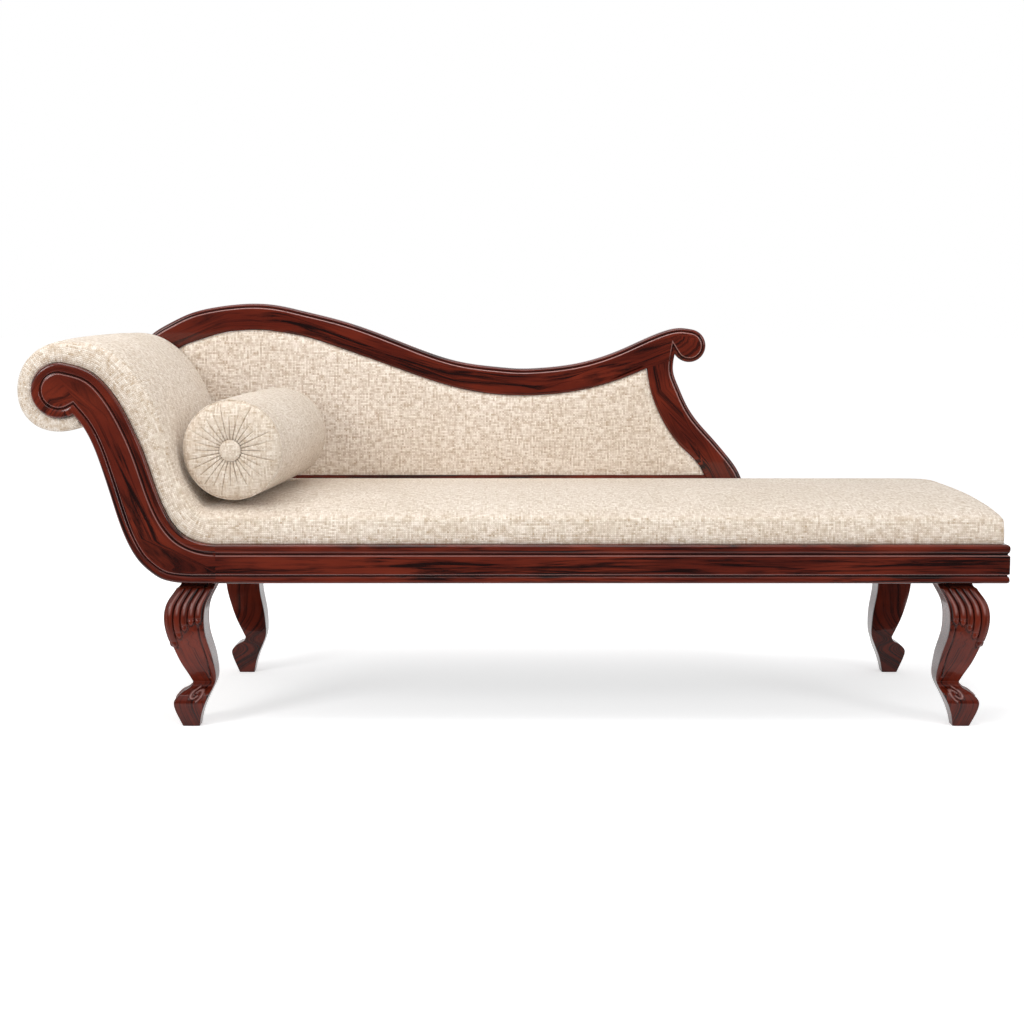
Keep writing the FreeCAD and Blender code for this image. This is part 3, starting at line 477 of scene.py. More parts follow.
def lacquered_wood(name, from_object=False, coat=LACQUER_COAT):
    """Stained mahogany under a gloss lacquer, with its figure along the piece, painted shade in its grooves and painted
    highlights on its edges.
    """
    material, tree, output = new_material(name)
    where = add_node(tree, "TexCoord").outputs["Object"]
    place = where if from_object else add_node(tree, "UVMap", uv_map="UVMap").outputs[0]
    grain = use_group(tree, wood_grain, {
        "Place": place, "Light": MAHOGANY, "Dark": MAHOGANY_DARK, "Streaks": MAHOGANY_STREAKS,
    })
    cloud = stretched_noise(tree, where, *CLOUD, detail=2.0)
    colour = tinted(tree, grain.outputs["Colour"], mixed(tree, ramp(tree, cloud, 0.35, 0.7), CLOUDED, WHITE))
    # the marks say where shade is painted into grooves (below 0) and highlights onto edges (above 0)
    painted_light = add_node(tree, "Attribute", attribute_name="painted_light").outputs["Fac"]
    dark = maths(tree, "MAXIMUM", maths(tree, "MULTIPLY", painted_light, -PAINTED_SHADE_SHARE), 0.0)
    light = maths(tree, "MAXIMUM", maths(tree, "MULTIPLY", painted_light, PAINTED_HIGHLIGHT_SHARE), 0.0)
    colour = mixed(tree, light, mixed(tree, dark, colour, PAINTED_SHADE), PAINTED_HIGHLIGHT)
    bump = add_node(tree, "Bump", {"Height": grain.outputs["Pores"], "Strength": 0.08, "Distance": 0.0003}, invert=True)
    rough = maths(tree, "MULTIPLY_ADD", grain.outputs["Figure"], 0.12, 0.2)
    shader = add_node(tree, "BsdfPrincipled", {
        "Base Color": colour, "Roughness": rough, "Normal": bump.outputs[0],
        "Specular IOR Level": 0.12, "Coat Weight": coat, "Coat Roughness": 0.06,
    })
    tree.links.new(shader.outputs[0], output.inputs["Surface"])
    return material


MAHOGANY = (0.155, 0.0200, 0.0080, 1.0)
MAHOGANY_DARK = (0.014, 0.0026, 0.0020, 1.0)
MAHOGANY_STREAKS = 0.72
mahogany = lacquered_wood("mahogany")
mahogany_legs = lacquered_wood("mahogany_legs", coat=LEG_COAT)
mahogany_solid = lacquered_wood("mahogany_solid", from_object=True)


def scroll_upper(step):
    """The scroll's upper edge, from the volute down to the seat rail."""
    knots = [round_point((VOLUTE_X, VOLUTE_Z), VOLUTE_R, CREST_ANGLE)]
    knots += [(JOINT_X - f * HEAD_REACH, RAIL_TOP + g * VOLUTE_RISE) for f, g in SCROLL_UPPER]
    return smooth_line(knots + [(JOINT_X, RAIL_TOP)], step)


def scroll_lower(step):
    """The scroll's lower edge, from the notch under the volute to the first leg."""
    knots = [round_point((VOLUTE_X, VOLUTE_Z), VOLUTE_R, NOTCH_ANGLE)]
    rise = VOLUTE_RISE + RAIL_HEIGHT
    return smooth_line(knots + [(JOINT_X - f * HEAD_REACH, LEG_HEIGHT + g * rise) for f, g in SCROLL_LOWER], step)


narrow_profile = [(d * NARROW_BEAD, h) for d, h in BEAD_PROFILE]
volute = round_line((VOLUTE_X, VOLUTE_Z), VOLUTE_R, NOTCH_ANGLE, CREST_ANGLE - 360.0, 3.0)
upper, lower = scroll_upper(5.0), scroll_lower(5.0)
joint_top, joint_foot = (JOINT_X, RAIL_TOP), (JOINT_X, LEG_HEIGHT)
# the grain turns over in the volute and then follows the middle of the board
middle = [(VOLUTE_X - 20, VOLUTE_Z - 6), (VOLUTE_X, VOLUTE_Z + 16)]
for share in (0.16, 0.3, 0.45, 0.6, 0.75, 0.9):
    middle.append((upper[int(share * len(upper))] + lower[int(share * len(lower))]) / 2)
middle.append((JOINT_X, RAIL_TOP - RAIL_HEIGHT / 2))
scroll_grain = smooth_line(middle, 4.0)
scroll_grain = np.vstack([scroll_grain[0] + (scroll_grain[0] - scroll_grain[1]) * 20, scroll_grain])
scroll_board = moulded_board("scroll_moulding", [
    (volute, BEAD_PROFILE),
    (upper, BEAD_PROFILE),
    ([joint_top, joint_foot], None),
    ([joint_foot, lower[-1]], narrow_profile),
    (lower[::-1], narrow_profile),
], FRONT, MOULD_T, scroll_grain, mahogany)
declare(scroll_board, "couch", "show_wood", "front_scroll_moulding")


RAIL_CUTS = 24


def moulded_rail(name, place, length, mitred_start, mitred_end):
    """A straight rail; place turns (distance along, depth, height) into a point, and a mitre cuts it by its depth."""
    # its outline as (depth behind the show face, height), from its back at the foot, round its face, to its top
    section = [(-h, LEG_HEIGHT + d) for d, h in narrow_profile]
    section += [(-h, RAIL_TOP - d) for d, h in reversed(BEAD_PROFILE)]
    points, uvs = [], []
    for i in range(RAIL_CUTS + 1):
        for depth, height in section:
            start = depth if mitred_start else 0.0
            end = length - (depth if mitred_end else 0.0)
            along = start + (end - start) * i / RAIL_CUTS
            points.append(place(along, depth, height))
            uvs.append((along, height - LEG_HEIGHT - RAIL_HEIGHT / 2 - depth))
    count = len(section)
    faces = grid_faces(RAIL_CUTS + 1, count, closed=True, flipped=True)
    faces += [list(range(count)), [RAIL_CUTS * count + k for k in reversed(range(count))]]
    # painted shade in the grooves and painted highlights on the edges past them
    painted_light = profile_painted_light(narrow_profile) + profile_painted_light(BEAD_PROFILE)[::-1]
    return mark_painted_light(mesh_piece(name, points, faces, uvs, mahogany), np.tile(painted_light, RAIL_CUTS + 1))


front_rail = moulded_rail("front_rail", lambda a, d, h: (JOINT_X + a, FRONT + d, h), RIGHT - JOINT_X, False, True)
declare(front_rail, "couch", "show_wood", "front_rail_moulding")
end_rail = moulded_rail("end_rail", lambda a, d, h: (RIGHT - d, FRONT + a, h), RAIL_BACK - FRONT, True, False)
declare(end_rail, "couch", "show_wood", "end_rail_moulding")
finish_nodes(mahogany_solid, "rear_scroll_side", "rear_seat_rail", "back_bottom_rail", "crest_dowels")

# Four cabriole legs, each sawn from a square post to the same curve from the front and from the side, and bolted up
# through the rails. The front pair is carved: a reeded leaf on the knee, a line down the inner edge and a swirled toe.
LEG_TOP = 68.0
KNEE_SHARE = 0.412
LEG_OUTER = [
    (0.0, 1.0), (0.147, 0.935), (0.294, 0.880), (0.397, 0.800), (0.412, 0.745), (0.353, 0.640),
    (0.221, 0.540), (0.044, 0.430), (-0.132, 0.345), (-0.221, 0.298),
]
FOOT_OUTER = [
    (-0.221, 0.298), (-0.176, 0.270), (0.0, 0.244), (0.162, 0.214), (0.257, 0.180), (0.250, 0.138),
    (0.147, 0.062), (0.044, 0.0),
]
LEG_INNER = [
    (-1.0, 1.0), (-0.882, 0.940), (-0.728, 0.860), (-0.662, 0.745), (-0.691, 0.640), (-0.824, 0.500),
    (-0.882, 0.400), (-0.882, 0.310), (-0.765, 0.235), (-0.588, 0.140), (-0.485, 0.060), (-0.441, 0.0),
]
LEG_CORNER, FOOT_EASE = 2.2, 1.2
# The leaf on the knee: its reeds, the height where they start and where each ends, and its rise and cuts
REEDS, REED_TOP = 5, 275.0
REED_ENDS = (204.0, 203.0, 191.0, 176.0, 158.0)
REED_RISE, LEAF_RISE, REED_CUT = 3.4, 1.8, 1.7
PLAIN_EDGE, END_ROUND = 0.05, 9.0
KNEE_Z, KNEE_REACH = 236.0, 36.0
# Each reed's end has a curl with a notch above it, and the face under the leaf is cut back
CURL_RISE, CURL_UP, CURL_R = 1.6, 5.0, 3.2
NOTCH_DEEP, NOTCH_UP, NOTCH_WIDE = 1.2, 12.0, 1.6
CUT_BACK = 0.8
# The line down the inner edge, and the swirl on the toe: where its eye is, how far its arms reach and how they rise
LINE_IN, LINE_WIDE, LINE_DEEP, LINE_LOW, LINE_HIGH = 11.5, 1.8, 2.4, 95.0, 201.0
TOE_Z, TOE_SHARE, TOE_LOW, TOE_TOP = 64.0, 0.42, 43.5, 88.0
ARM_RISE, ARM_WIDE, ARM_START, ARM_SWEEP = 3.4, 2.1, 0.4, 1.25 * math.pi
EYE_R, ARM_REACH = 3.0, 11.0


def bump_of(distance, width):
    """A smooth rise of 1 at distance 0 that has gone at about twice the width."""
    return np.exp(-(np.asarray(distance, float) / width) ** 2)


def step_up(value, low, high):
    """0 below low, 1 above high, and smooth between."""
    t = np.clip((value - low) / (high - low), 0.0, 1.0)
    return t * t * (3 - 2 * t)


def reeded_leaf(share, width, z):
    """The rise of the leaf at a share of the way out across the leg and at height z, and its painted shading."""
    reed = np.clip((share - PLAIN_EDGE) / (1 - PLAIN_EDGE) * REEDS, 0.0, REEDS - 1e-6)
    within = reed - np.floor(reed) - 0.5
    low = np.take(REED_ENDS, np.floor(reed).astype(int))
    end, above = low + END_ROUND * (2 * within) ** 2, z - low
    fade = step_up(z, end - 0.8, end + 1.4) * (1 - step_up(z, REED_TOP - 3.0, REED_TOP))
    ridge = np.sqrt(np.clip(1 - (2 * within) ** 2, 0, 1))
    swell = 0.5 + 0.5 * bump_of(z - KNEE_Z, KNEE_REACH)
    beside = 0.5 - abs(within)
    rise = fade * (LEAF_RISE + REED_RISE * swell * ridge - REED_CUT * bump_of(beside, 0.1))
    rise += CURL_RISE * bump_of(np.hypot(within * width / REEDS, (above - CURL_UP) * 0.7), CURL_R) * fade
    rise -= NOTCH_DEEP * bump_of(above - NOTCH_UP, NOTCH_WIDE) * ridge * fade
    leaf_edge = np.interp(share, (np.arange(REEDS) + 0.5) / REEDS, REED_ENDS)
    rise -= CUT_BACK * step_up(z, leaf_edge - 14.0, leaf_edge - 1.0) * (1 - fade) * step_up(z, 120.0, 160.0)
    # painted highlights on the reeds' crowns above the knee, painted shade between the reeds and just under each reed's
    # end
    crown_highlight = bump_of(within, 0.13) * fade * step_up(z, 220.0, 232.0) * (1 - step_up(z, 262.0, 272.0))
    shade_under_leaf = step_up(z, end - 6.0, end - 1.0) * (1 - fade) * (z < REED_TOP - 20.0)
    return rise, -0.8 * crown_highlight + bump_of(beside, 0.12) * fade + 0.8 * shade_under_leaf


def inner_line(out, z):
    """The rise of the line that is cut down the leg's inner edge, and the painted shade in it."""
    length = step_up(z, LINE_LOW - 3.0, LINE_LOW + 3.0) * (1 - step_up(z, LINE_HIGH - 5.0, LINE_HIGH + 5.0))
    cut = bump_of(out - LINE_IN, LINE_WIDE) * length
    return -LINE_DEEP * cut, cut


def toe_swirl(out, width, z):
    """The rise of the toe's two curled arms, and their painted shading: a painted highlight on each arm and painted
    shade just outside it.
    """
    x, y = out - width * TOE_SHARE, z - TOE_Z
    turn, radius = np.arctan2(y, x), np.hypot(x, y)
    on_toe = step_up(z, TOE_LOW - 1.5, TOE_LOW + 1.5) * (1 - step_up(z, TOE_TOP - 2.0, TOE_TOP + 2.0))
    rise = painted_shading = 0.0
    for start in (ARM_START, ARM_START + math.pi):
        swirl = (turn - start) % (2 * math.pi)
        off = radius - EYE_R - ARM_REACH * swirl / ARM_SWEEP
        on_arm = (swirl < ARM_SWEEP) * on_toe
        rise = rise + ARM_RISE * bump_of(off, ARM_WIDE) * on_arm
        painted_shading = painted_shading + (0.5 * bump_of(off - 4.0, 1.5) - 0.9 * bump_of(off, 1.7)) * on_arm
    return rise, painted_shading


def carved(out, width, z):
    """How far the carving stands off a leg's show face, out millimetres from its inner edge and at height z, and its
    painted shading there: painted shade above 0 and painted highlight below 0."""
    parts = (reeded_leaf(out / width, width, z), inner_line(out, z), toe_swirl(out, width, z))
    # the top of the leg, under the rail, gets painted shade too
    painted_shading = sum(part[1] for part in parts) + step_up(z, REED_TOP - 2.0, REED_TOP + 3.0)
    return sum(part[0] for part in parts), np.clip(painted_shading, -1.0, 1.0)


# A leg's corners from its outer one: where each is, the angle its rounding starts at, the way to the next corner and
# the way out of the face between them
LEG_CORNERS = (
    ((0, 0), 180.0, (1, 0), (0, -1)), ((1, 0), 270.0, (0, 1), (1, 0)),
    ((1, 1), 0.0, (-1, 0), (0, 1)), ((0, 1), 90.0, (0, -1), (-1, 0)),
)
CORNER_POINTS, HIDDEN_COLUMNS, PLAIN_COLUMNS, CARVED_COLUMNS = 4, 8, 8, 46
CARVED_STEP, PLAIN_STEP = 1.0, 2.5
TOE_FROM, TOE_TO = 92.0, 48.0


def leg_line(shares):
    """One side of the leg's curve, from shares of its width at the top and of its height."""
    return smooth_line([(u * LEG_TOP, z * LEG_HEIGHT) for u, z in shares], 1.0)


def leg_ring(width, corner_r, show_columns):
    """A cross section of the leg, as distances in from its outer corner; the two faces at that corner are shown."""
    flat = width - 2 * corner_r
    ring = []
    for corner, first, toward, out in LEG_CORNERS:
        centre = corner_r + flat * np.array(corner)
        ring += [round_point(centre, corner_r, angle) for angle in np.linspace(first, first + 90.0, CORNER_POINTS)]
        begin = centre + corner_r * np.array(out)
        columns = show_columns if corner[0] == 0 else HIDDEN_COLUMNS
        ring += [begin + np.array(toward) * flat * share for share in np.linspace(0.0, 1.0, columns + 1)[1:-1]]
    return np.array(ring)


def leg_mesh(name, x, y, side, depth, carve):
    """One leg; side and depth say which way its outer corner points, and carve gives it the front legs' carving."""
    outer = np.vstack([leg_line(LEG_OUTER), leg_line(FOOT_OUTER)[1:]])
    inner = leg_line(LEG_INNER)
    step, columns = (CARVED_STEP, CARVED_COLUMNS) if carve else (PLAIN_STEP, PLAIN_COLUMNS)
    levels = np.concatenate([np.arange(LEG_HEIGHT, TOE_FROM, -step), np.arange(TOE_FROM, TOE_TO, -0.6 * step),
                             np.arange(TOE_TO, 1.0, -step), [1.0, 0.0]])
    out_at = np.interp(levels, outer[::-1, 1], outer[::-1, 0])
    in_at = np.interp(levels, inner[::-1, 1], inner[::-1, 0])
    points, uvs, painted_light = [], [], []
    for z, high, low in zip(levels, out_at, in_at):
        width = high - low
        ring = leg_ring(width, LEG_CORNER + (FOOT_EASE if z == 0.0 else 0.0), columns)
        painted_mark = np.zeros(len(ring))
        if carve:
            on_front, on_side = ring[:, 1] < 0.01, ring[:, 0] < 0.01
            lift, painted_shading = carved(width - ring[:, 0], width, z)
            lift_side, painted_shading_side = carved(width - ring[:, 1], width, z)
            # the carving's painted shading, marked for the lacquered wood: shade below 0, highlight above 0
            painted_mark = -(painted_shading * on_front + painted_shading_side * on_side * (1 - on_front))
            ring[:, 1] -= np.where(on_front, lift, 0.0)
            ring[:, 0] -= np.where(on_side, lift_side, 0.0)
        painted_light.extend(painted_mark)
        level = np.full(len(ring), z)
        points.extend(zip(x + side * (high - ring[:, 0]), y + depth * (high - ring[:, 1]), level))
        uvs.extend(zip(level, distance_along(ring)))
    count = len(ring)
    faces = grid_faces(len(levels), count, closed=True)
    faces.append([(len(levels) - 1) * count + k for k in range(count)])
    faces.append(list(reversed(range(count))))
    if side * depth < 0:
        faces = [tuple(reversed(face)) for face in faces]
    return mark_painted_light(mesh_piece(name, points, faces, uvs, mahogany_legs, crease=48.0), painted_light)


leg_front_y = FRONT + KNEE_SHARE * LEG_TOP
leg_rear_y = RAIL_BACK - KNEE_SHARE * LEG_TOP
left_leg, right_leg, rear_inset = JOINT_X - 69.5, RIGHT - 67.0, 36.0
for name, x, y, side, depth, carve in (
    ("front_left", left_leg, leg_front_y, -1, -1, True),
    ("front_right", right_leg, leg_front_y, 1, -1, True),
    ("rear_left", left_leg + rear_inset, leg_rear_y, -1, 1, False),
    ("rear_right", right_leg - rear_inset, leg_rear_y, 1, 1, False),
):
    declare(leg_mesh("cabriole_" + name, x, y, side, depth, carve), "couch", "show_wood", "leg_" + name)

# Under the pad: jute webs woven front to back and along the seat, a hessian sheet over them, and a thin black cloth
# tacked under the rails to keep dust out. The hessian carries on up the slats and round the roll.
JUTE = (0.36, 0.25, 0.13, 1.0)
JUTE_DARK = (0.17, 0.105, 0.05, 1.0)
BLACK_CLOTH, BLACK_CLOTH_DARK = (0.02, 0.02, 0.021, 1.0), (0.006, 0.006, 0.006, 1.0)
WEB_PITCH, HESSIAN_PITCH, BLACK_PITCH = 0.0022, 0.0028, 0.0012
# The weave wanders a little, as hand-tensioned cloth does: how finely, and by how many metres
WANDER_SCALE, WANDER = 9.0, 0.006
# How often a thread changes along its length, how little one thread is like the next, and how much tone that gives
SLUB_SCALE, THREAD_SCALE, SLUB_TONE = 55.0, 0.85, 6.5


def thread_group():
    """A plain weave: threads of uneven thickness and tone, crossing over and under each other."""
    group, given, result = group_tree(
        "plain_weave",
        {"Place": ("Vector", None), "Pitch": ("Float", 0.0034), "Light": ("Color", WHITE), "Dark": ("Color", BLACK),
         "Slubs": ("Float", 0.5)},
        {"Colour": "Color", "Height": "Float", "Gaps": "Float"},
    )
    place = given.outputs["Place"]
    drift = add_node(group, "TexNoise", {"Vector": place, "Scale": WANDER_SCALE, "Detail": 1.0})
    shift = add_node(group, "VectorMath", {0: drift.outputs["Color"], 1: (0.5, 0.5, 0.5)}, operation="SUBTRACT")
    shift = add_node(group, "VectorMath", {0: shift.outputs[0], "Scale": WANDER}, operation="SCALE")
    moved = add_node(group, "VectorMath", {0: place, 1: shift.outputs[0]}, operation="ADD")
    axes = add_node(group, "SeparateXYZ", {0: moved.outputs[0]})
    waves, slubs = [], []
    for first, second, apart in (("X", "Y", 0.0), ("Y", "X", 40.0)):
        thread = maths(group, "DIVIDE", axes.outputs[first], given.outputs["Pitch"])
        waves.append(maths(group, "SINE", maths(group, "MULTIPLY", thread, math.pi)))
        own = maths(group, "MULTIPLY", maths(group, "FLOOR", thread), THREAD_SCALE)
        along = maths(group, "MULTIPLY", axes.outputs[second], SLUB_SCALE)
        where = add_node(group, "CombineXYZ", {0: own, 1: along, 2: apart})
        slubs.append(add_node(group, "TexNoise", {"Vector": where.outputs[0], "Scale": 1.0, "Detail": 2.0}).outputs[0])
    cross = maths(group, "MULTIPLY", waves[0], waves[1])
    over = maths(group, "MULTIPLY_ADD", cross, 0.5, 0.5)
    gaps = maths(group, "MULTIPLY", maths(group, "ABSOLUTE", waves[0]), maths(group, "ABSOLUTE", waves[1]))
    gaps = maths(group, "SUBTRACT", 1.0, ramp(group, gaps, 0.0, 0.55))
    tone = add_node(group, "Mix", {0: over, 2: slubs[0], 3: slubs[1]}, data_type="FLOAT").outputs[0]
    strength = maths(group, "MULTIPLY", given.outputs["Slubs"], SLUB_TONE)
    uneven = maths(group, "MULTIPLY", maths(group, "SUBTRACT", 0.5, tone), strength)
    dark = maths(group, "ADD", maths(group, "MULTIPLY_ADD", gaps, 0.2, 0.36), uneven)
    dark = maths(group, "MINIMUM", maths(group, "MAXIMUM", dark, 0.0), 1.0)
    colour = mixed(group, dark, given.outputs["Light"], given.outputs["Dark"])
    thick = maths(group, "MULTIPLY_ADD", tone, 0.6, maths(group, "MULTIPLY", maths(group, "ABSOLUTE", cross), 0.7))
    feed(group, result, {"Colour": colour, "Height": thick, "Gaps": gaps})
    return group


plain_weave = thread_group()


CLOTH_CLOUD = (0.93, 0.915, 0.89, 1.0)


def woven_material(name, light, dark, pitch, slubs, bump_height, from_object=False, sheen=0.25):
    """Cloth whose weave comes from its texture places, or from where it is for pieces that have none."""
    material, tree, output = new_material(name)
    where = add_node(tree, "TexCoord").outputs["Object"]
    place = where if from_object else add_node(tree, "UVMap", uv_map="UVMap").outputs[0]
    weave = use_group(tree, plain_weave, {"Place": place, "Pitch": pitch, "Light": light, "Dark": dark, "Slubs": slubs})
    cloud = add_node(tree, "TexNoise", {"Vector": where, "Scale": 5.0, "Detail": 3.0}).outputs[0]
    colour = tinted(tree, weave.outputs["Colour"], mixed(tree, ramp(tree, cloud, 0.3, 0.7), CLOTH_CLOUD, WHITE))
    bump = add_node(tree, "Bump", {"Height": weave.outputs["Height"], "Strength": 0.8, "Distance": bump_height})
    shader = add_node(tree, "BsdfPrincipled", {
        "Base Color": colour, "Roughness": maths(tree, "MULTIPLY_ADD", weave.outputs["Gaps"], 0.08, 0.85),
        "Normal": bump.outputs[0], "Sheen Weight": sheen, "Sheen Roughness": 0.5, "Specular IOR Level": 0.2,
    })
    tree.links.new(shader.outputs[0], output.inputs["Surface"])
    return material


webbing = woven_material("jute_webbing", JUTE, JUTE_DARK, WEB_PITCH, 0.3, 0.0006, from_object=True)
hessian_cloth = woven_material("hessian_cloth", JUTE, JUTE_DARK, HESSIAN_PITCH, 0.6, 0.0006, from_object=True)
black_bottoming = woven_material(
    "black_bottoming", BLACK_CLOTH, BLACK_CLOTH_DARK, BLACK_PITCH, 0.2, 0.0002, from_object=True, sheen=0.1)
finish_nodes(webbing, "seat_webbing_cross", "seat_webbing_long")
finish_nodes(hessian_cloth, "hessian")
finish_nodes(black_bottoming, "dust_cover")

# The pad: foam round the roll, down the slope and over the seat, under one continuous oatmeal linen cover that is
# pulled tight down to the show wood on the front, round the foot end and along the back.
LINEN = (0.92, 0.835, 0.74, 1.0)
LINEN_DARK = (0.52, 0.39, 0.27, 1.0)
LINEN_PITCH = 0.0036
COVER_GAP = 0.6
ROLL_PAD, SEAT_PAD = 33.5, 77.0
PAD_FRONT, PAD_REAR, PAD_END = FRONT + 14.0, RAIL_BACK - 6.0, RIGHT - 10.0
# How thick the pad is: shares of the roll's pad at angles round the volute, shares of the seat's pad down the slope,
# and its shares at distances from the foot end, where it rounds over
ROLL_STATIONS = [
    (-60, 0.86), (-90, 0.86), (-120, 1.00), (-150, 1.06), (-180, 1.00), (-210, 1.04), (-240, 1.16), (-265, 1.29),
]
ROLL_END, ROLL_STEP = -279.0, 2.5
SLOPE_STATIONS = [0.60, 0.80, 0.90, 0.92, 0.88, 0.77, 0.66, 0.73, 0.85, 0.94, 1.0]
END_STATIONS = [
    (110.0, 1.0), (60.0, 0.995), (40.0, 0.985), (28.0, 0.965), (19.0, 0.94), (11.0, 0.905), (5.5, 0.86), (2.0, 0.81),
    (0.0, 0.755),
]
SEAT_COLUMNS = 190
# Its cross section: how far the front and rear edges drop, how the front wall bellies, and how full the crown is
FRONT_DROP, REAR_DROP, DROP_GROWS = 0.27, 0.08, 1.5
PAD_ROUND, WALL_BELLY, CROWN_FULL = 15.0, 2.2, 0.62
WALL_ROWS, TURN_ROWS, CROWN_ROWS = 8, 7, 46
RING_SIZE = WALL_ROWS * 2 + (TURN_ROWS - 1) * 2 + CROWN_ROWS
# The cloth is gathered in round the volute: small folds and longer waves, how high above the wood they reach, and how
# far along the pad they go before they fade
FOLD_DEEP, FOLD_LENGTH, FOLD_DRIFT = 0.9, 1.9, 17.0
WAVE_DEEP, WAVE_LENGTH = 0.5, 4.3
GATHER_REACH, GATHER_RUN, GATHER_FADE = 12.0, 330.0, 60.0


def smooth_shares(keys, scale):
    """A smooth curve through (place, share) pairs, scaled so that its steps are even."""
    return smooth_line(np.array(keys, float) * scale, 2.0) / scale


def pad_path():
    """Points along the top edge of the timber, the way out of it, and the pad's thickness there."""
    spots, ways, thick = [], [], []
    keys = ROLL_STATIONS + [(ROLL_END - 1.0, SLOPE_STATIONS[0] * SEAT_PAD / ROLL_PAD)]
    share = smooth_shares(keys, (1, 60))
    for angle in np.arange(ROLL_STATIONS[0][0], ROLL_END, -ROLL_STEP):
        way = round_point((0.0, 0.0), 1.0, angle)
        spots.append(np.array([VOLUTE_X, VOLUTE_Z]) + VOLUTE_R * way)
        ways.append(way)
        thick.append(ROLL_PAD * np.interp(-angle, -share[:, 0], share[:, 1]))
    edge = scroll_upper(6.0)
    share = smooth_shares(list(zip(np.linspace(0.0, 1.0, len(SLOPE_STATIONS)), SLOPE_STATIONS)), (600, 100))
    run = distance_along(edge)
    tangent = np.gradient(edge, axis=0)
    tangent /= np.linalg.norm(tangent, axis=1)[:, None]
    for i in range(1, len(edge)):
        spots.append(edge[i])
        ways.append(np.array([-tangent[i, 1], tangent[i, 0]]))
        thick.append(SEAT_PAD * np.interp(run[i] / run[-1], share[:, 0], share[:, 1]))
    seat = [(x, 1.0) for x in np.linspace(JOINT_X + 7, PAD_END - END_STATIONS[0][0] - 2.0, SEAT_COLUMNS)]
    for x, part in seat + [(PAD_END - distance, part) for distance, part in END_STATIONS]:
        spots.append(np.array([x, RAIL_TOP]))
        ways.append(np.array([0.0, 1.0]))
        thick.append(SEAT_PAD * part)
    return np.array(spots), np.array(ways), np.array(thick)


def pad_ring(thick):
    """One cross section of the pad as (depth, out) points, up the front, over the crown and down the back."""
    drop = thick * (thick / SEAT_PAD) ** DROP_GROWS
    high_front, high_rear = thick - FRONT_DROP * drop, thick - REAR_DROP * drop
    bend = min(PAD_ROUND, high_front - COVER_GAP - 2.0)
    belly = [WALL_BELLY * math.sin(math.pi * i / (WALL_ROWS - 1)) ** 0.7 for i in range(WALL_ROWS)]
    points = list(zip(PAD_FRONT - np.array(belly), np.linspace(COVER_GAP, high_front - bend, WALL_ROWS)))
    for i in range(1, TURN_ROWS):
        turn = QUARTER * i / TURN_ROWS
        points.append((PAD_FRONT + bend - bend * math.cos(turn), high_front - bend + bend * math.sin(turn)))
    ys = np.linspace(PAD_FRONT + bend, PAD_REAR - bend, CROWN_ROWS)
    share = (ys - ys[0]) / (ys[-1] - ys[0])
    slant = high_front * (1 - share) + high_rear * share
    points += list(zip(ys, slant + (thick - slant) * np.sin(math.pi * share) ** CROWN_FULL))
    for i in range(1, TURN_ROWS):
        turn = QUARTER * i / TURN_ROWS
        points.append((PAD_REAR - bend + bend * math.sin(turn), high_rear - bend + bend * math.cos(turn)))
    return points + [(PAD_REAR, out) for out in np.linspace(high_rear - bend, COVER_GAP, WALL_ROWS)]


def gathered_in(run, out):
    """How far the folds round the volute draw the cloth in, at a place along the pad and out from the wood."""
    in_roll = 1.0 - float(step_up(run, GATHER_RUN, GATHER_RUN + GATHER_FADE))
    folds = FOLD_DEEP * math.sin(run / FOLD_LENGTH + 2.0 * math.sin(run / FOLD_DRIFT))
    folds += WAVE_DEEP * math.sin(run / WAVE_LENGTH + 1.0)
    return math.exp(-(out - COVER_GAP) / GATHER_REACH) * in_roll * folds


spots, ways, thicks = pad_path()
half_way_up = spots + ways * thicks[:, None] * 0.5
points, uvs = [], []
for spot, way, thick, run in zip(spots, ways, thicks, distance_along(half_way_up)):
    ring = pad_ring(thick)
    for row, ((depth, out), across) in enumerate(zip(ring, distance_along(np.array(ring)))):
        if row < WALL_ROWS:
            depth += gathered_in(run, out)
        x, z = spot + way * out
        points.append((x, depth, z))
        uvs.append((run, across))
faces = grid_faces(len(spots), RING_SIZE, flipped=True)


def close_pad(base, bulge, sense):
    """Closes one end of the pad with cloth that goes down from its last cross section to the wood."""
    first, final = WALL_ROWS - 1, RING_SIZE - WALL_ROWS
    columns = []
    foot_front, foot_rear = np.array(points[base]), np.array(points[base + RING_SIZE - 1])
    for k in range(first, final + 1):
        top = np.array(points[base + k])
        share = (top[1] - PAD_FRONT) / (PAD_REAR - PAD_FRONT)
        foot = foot_front * (1 - share) + foot_rear * share
        foot[1] = top[1]
        if k == first:
            columns.append([base + j for j in reversed(range(WALL_ROWS))])
            continue
        if k == final:
            columns.append([base + j for j in range(final, RING_SIZE)])
            continue
        column = [base + k]
        for row in range(1, WALL_ROWS):
            part = row / (WALL_ROWS - 1)
            fullness = math.sin(math.pi * part) ** 0.7 * min(1.0, 12 * share, 12 * (1 - share))
            spot = top * (1 - part) + foot * part + np.array(bulge) * fullness
            column.append(len(points))
            points.append(tuple(spot))
            uvs.append((uvs[base][0] + sense * float(np.linalg.norm(top - spot)), uvs[base + k][1]))
        columns.append(column)
    for left, right in zip(columns, columns[1:]):
        for row in range(WALL_ROWS - 1):
            face = (left[row], left[row + 1], right[row + 1], right[row])
            faces.append(face if sense > 0 else tuple(reversed(face)))


END_BULGE, ROLL_BULGE = (3.0, 0.0, 0.0), (1.5, 0.0, 1.0)
close_pad((len(spots) - 1) * RING_SIZE, END_BULGE, 1.0)
close_pad(0, ROLL_BULGE, -1.0)
linen = woven_material("oatmeal_linen", LINEN, LINEN_DARK, LINEN_PITCH, 0.5, 0.0012)
pad = mesh_piece("couch_pad", points, faces, uvs, linen, crease=180.0)
declare(pad, "couch", "linen", "couch_cover", "headrest_foam", "seat_foam")

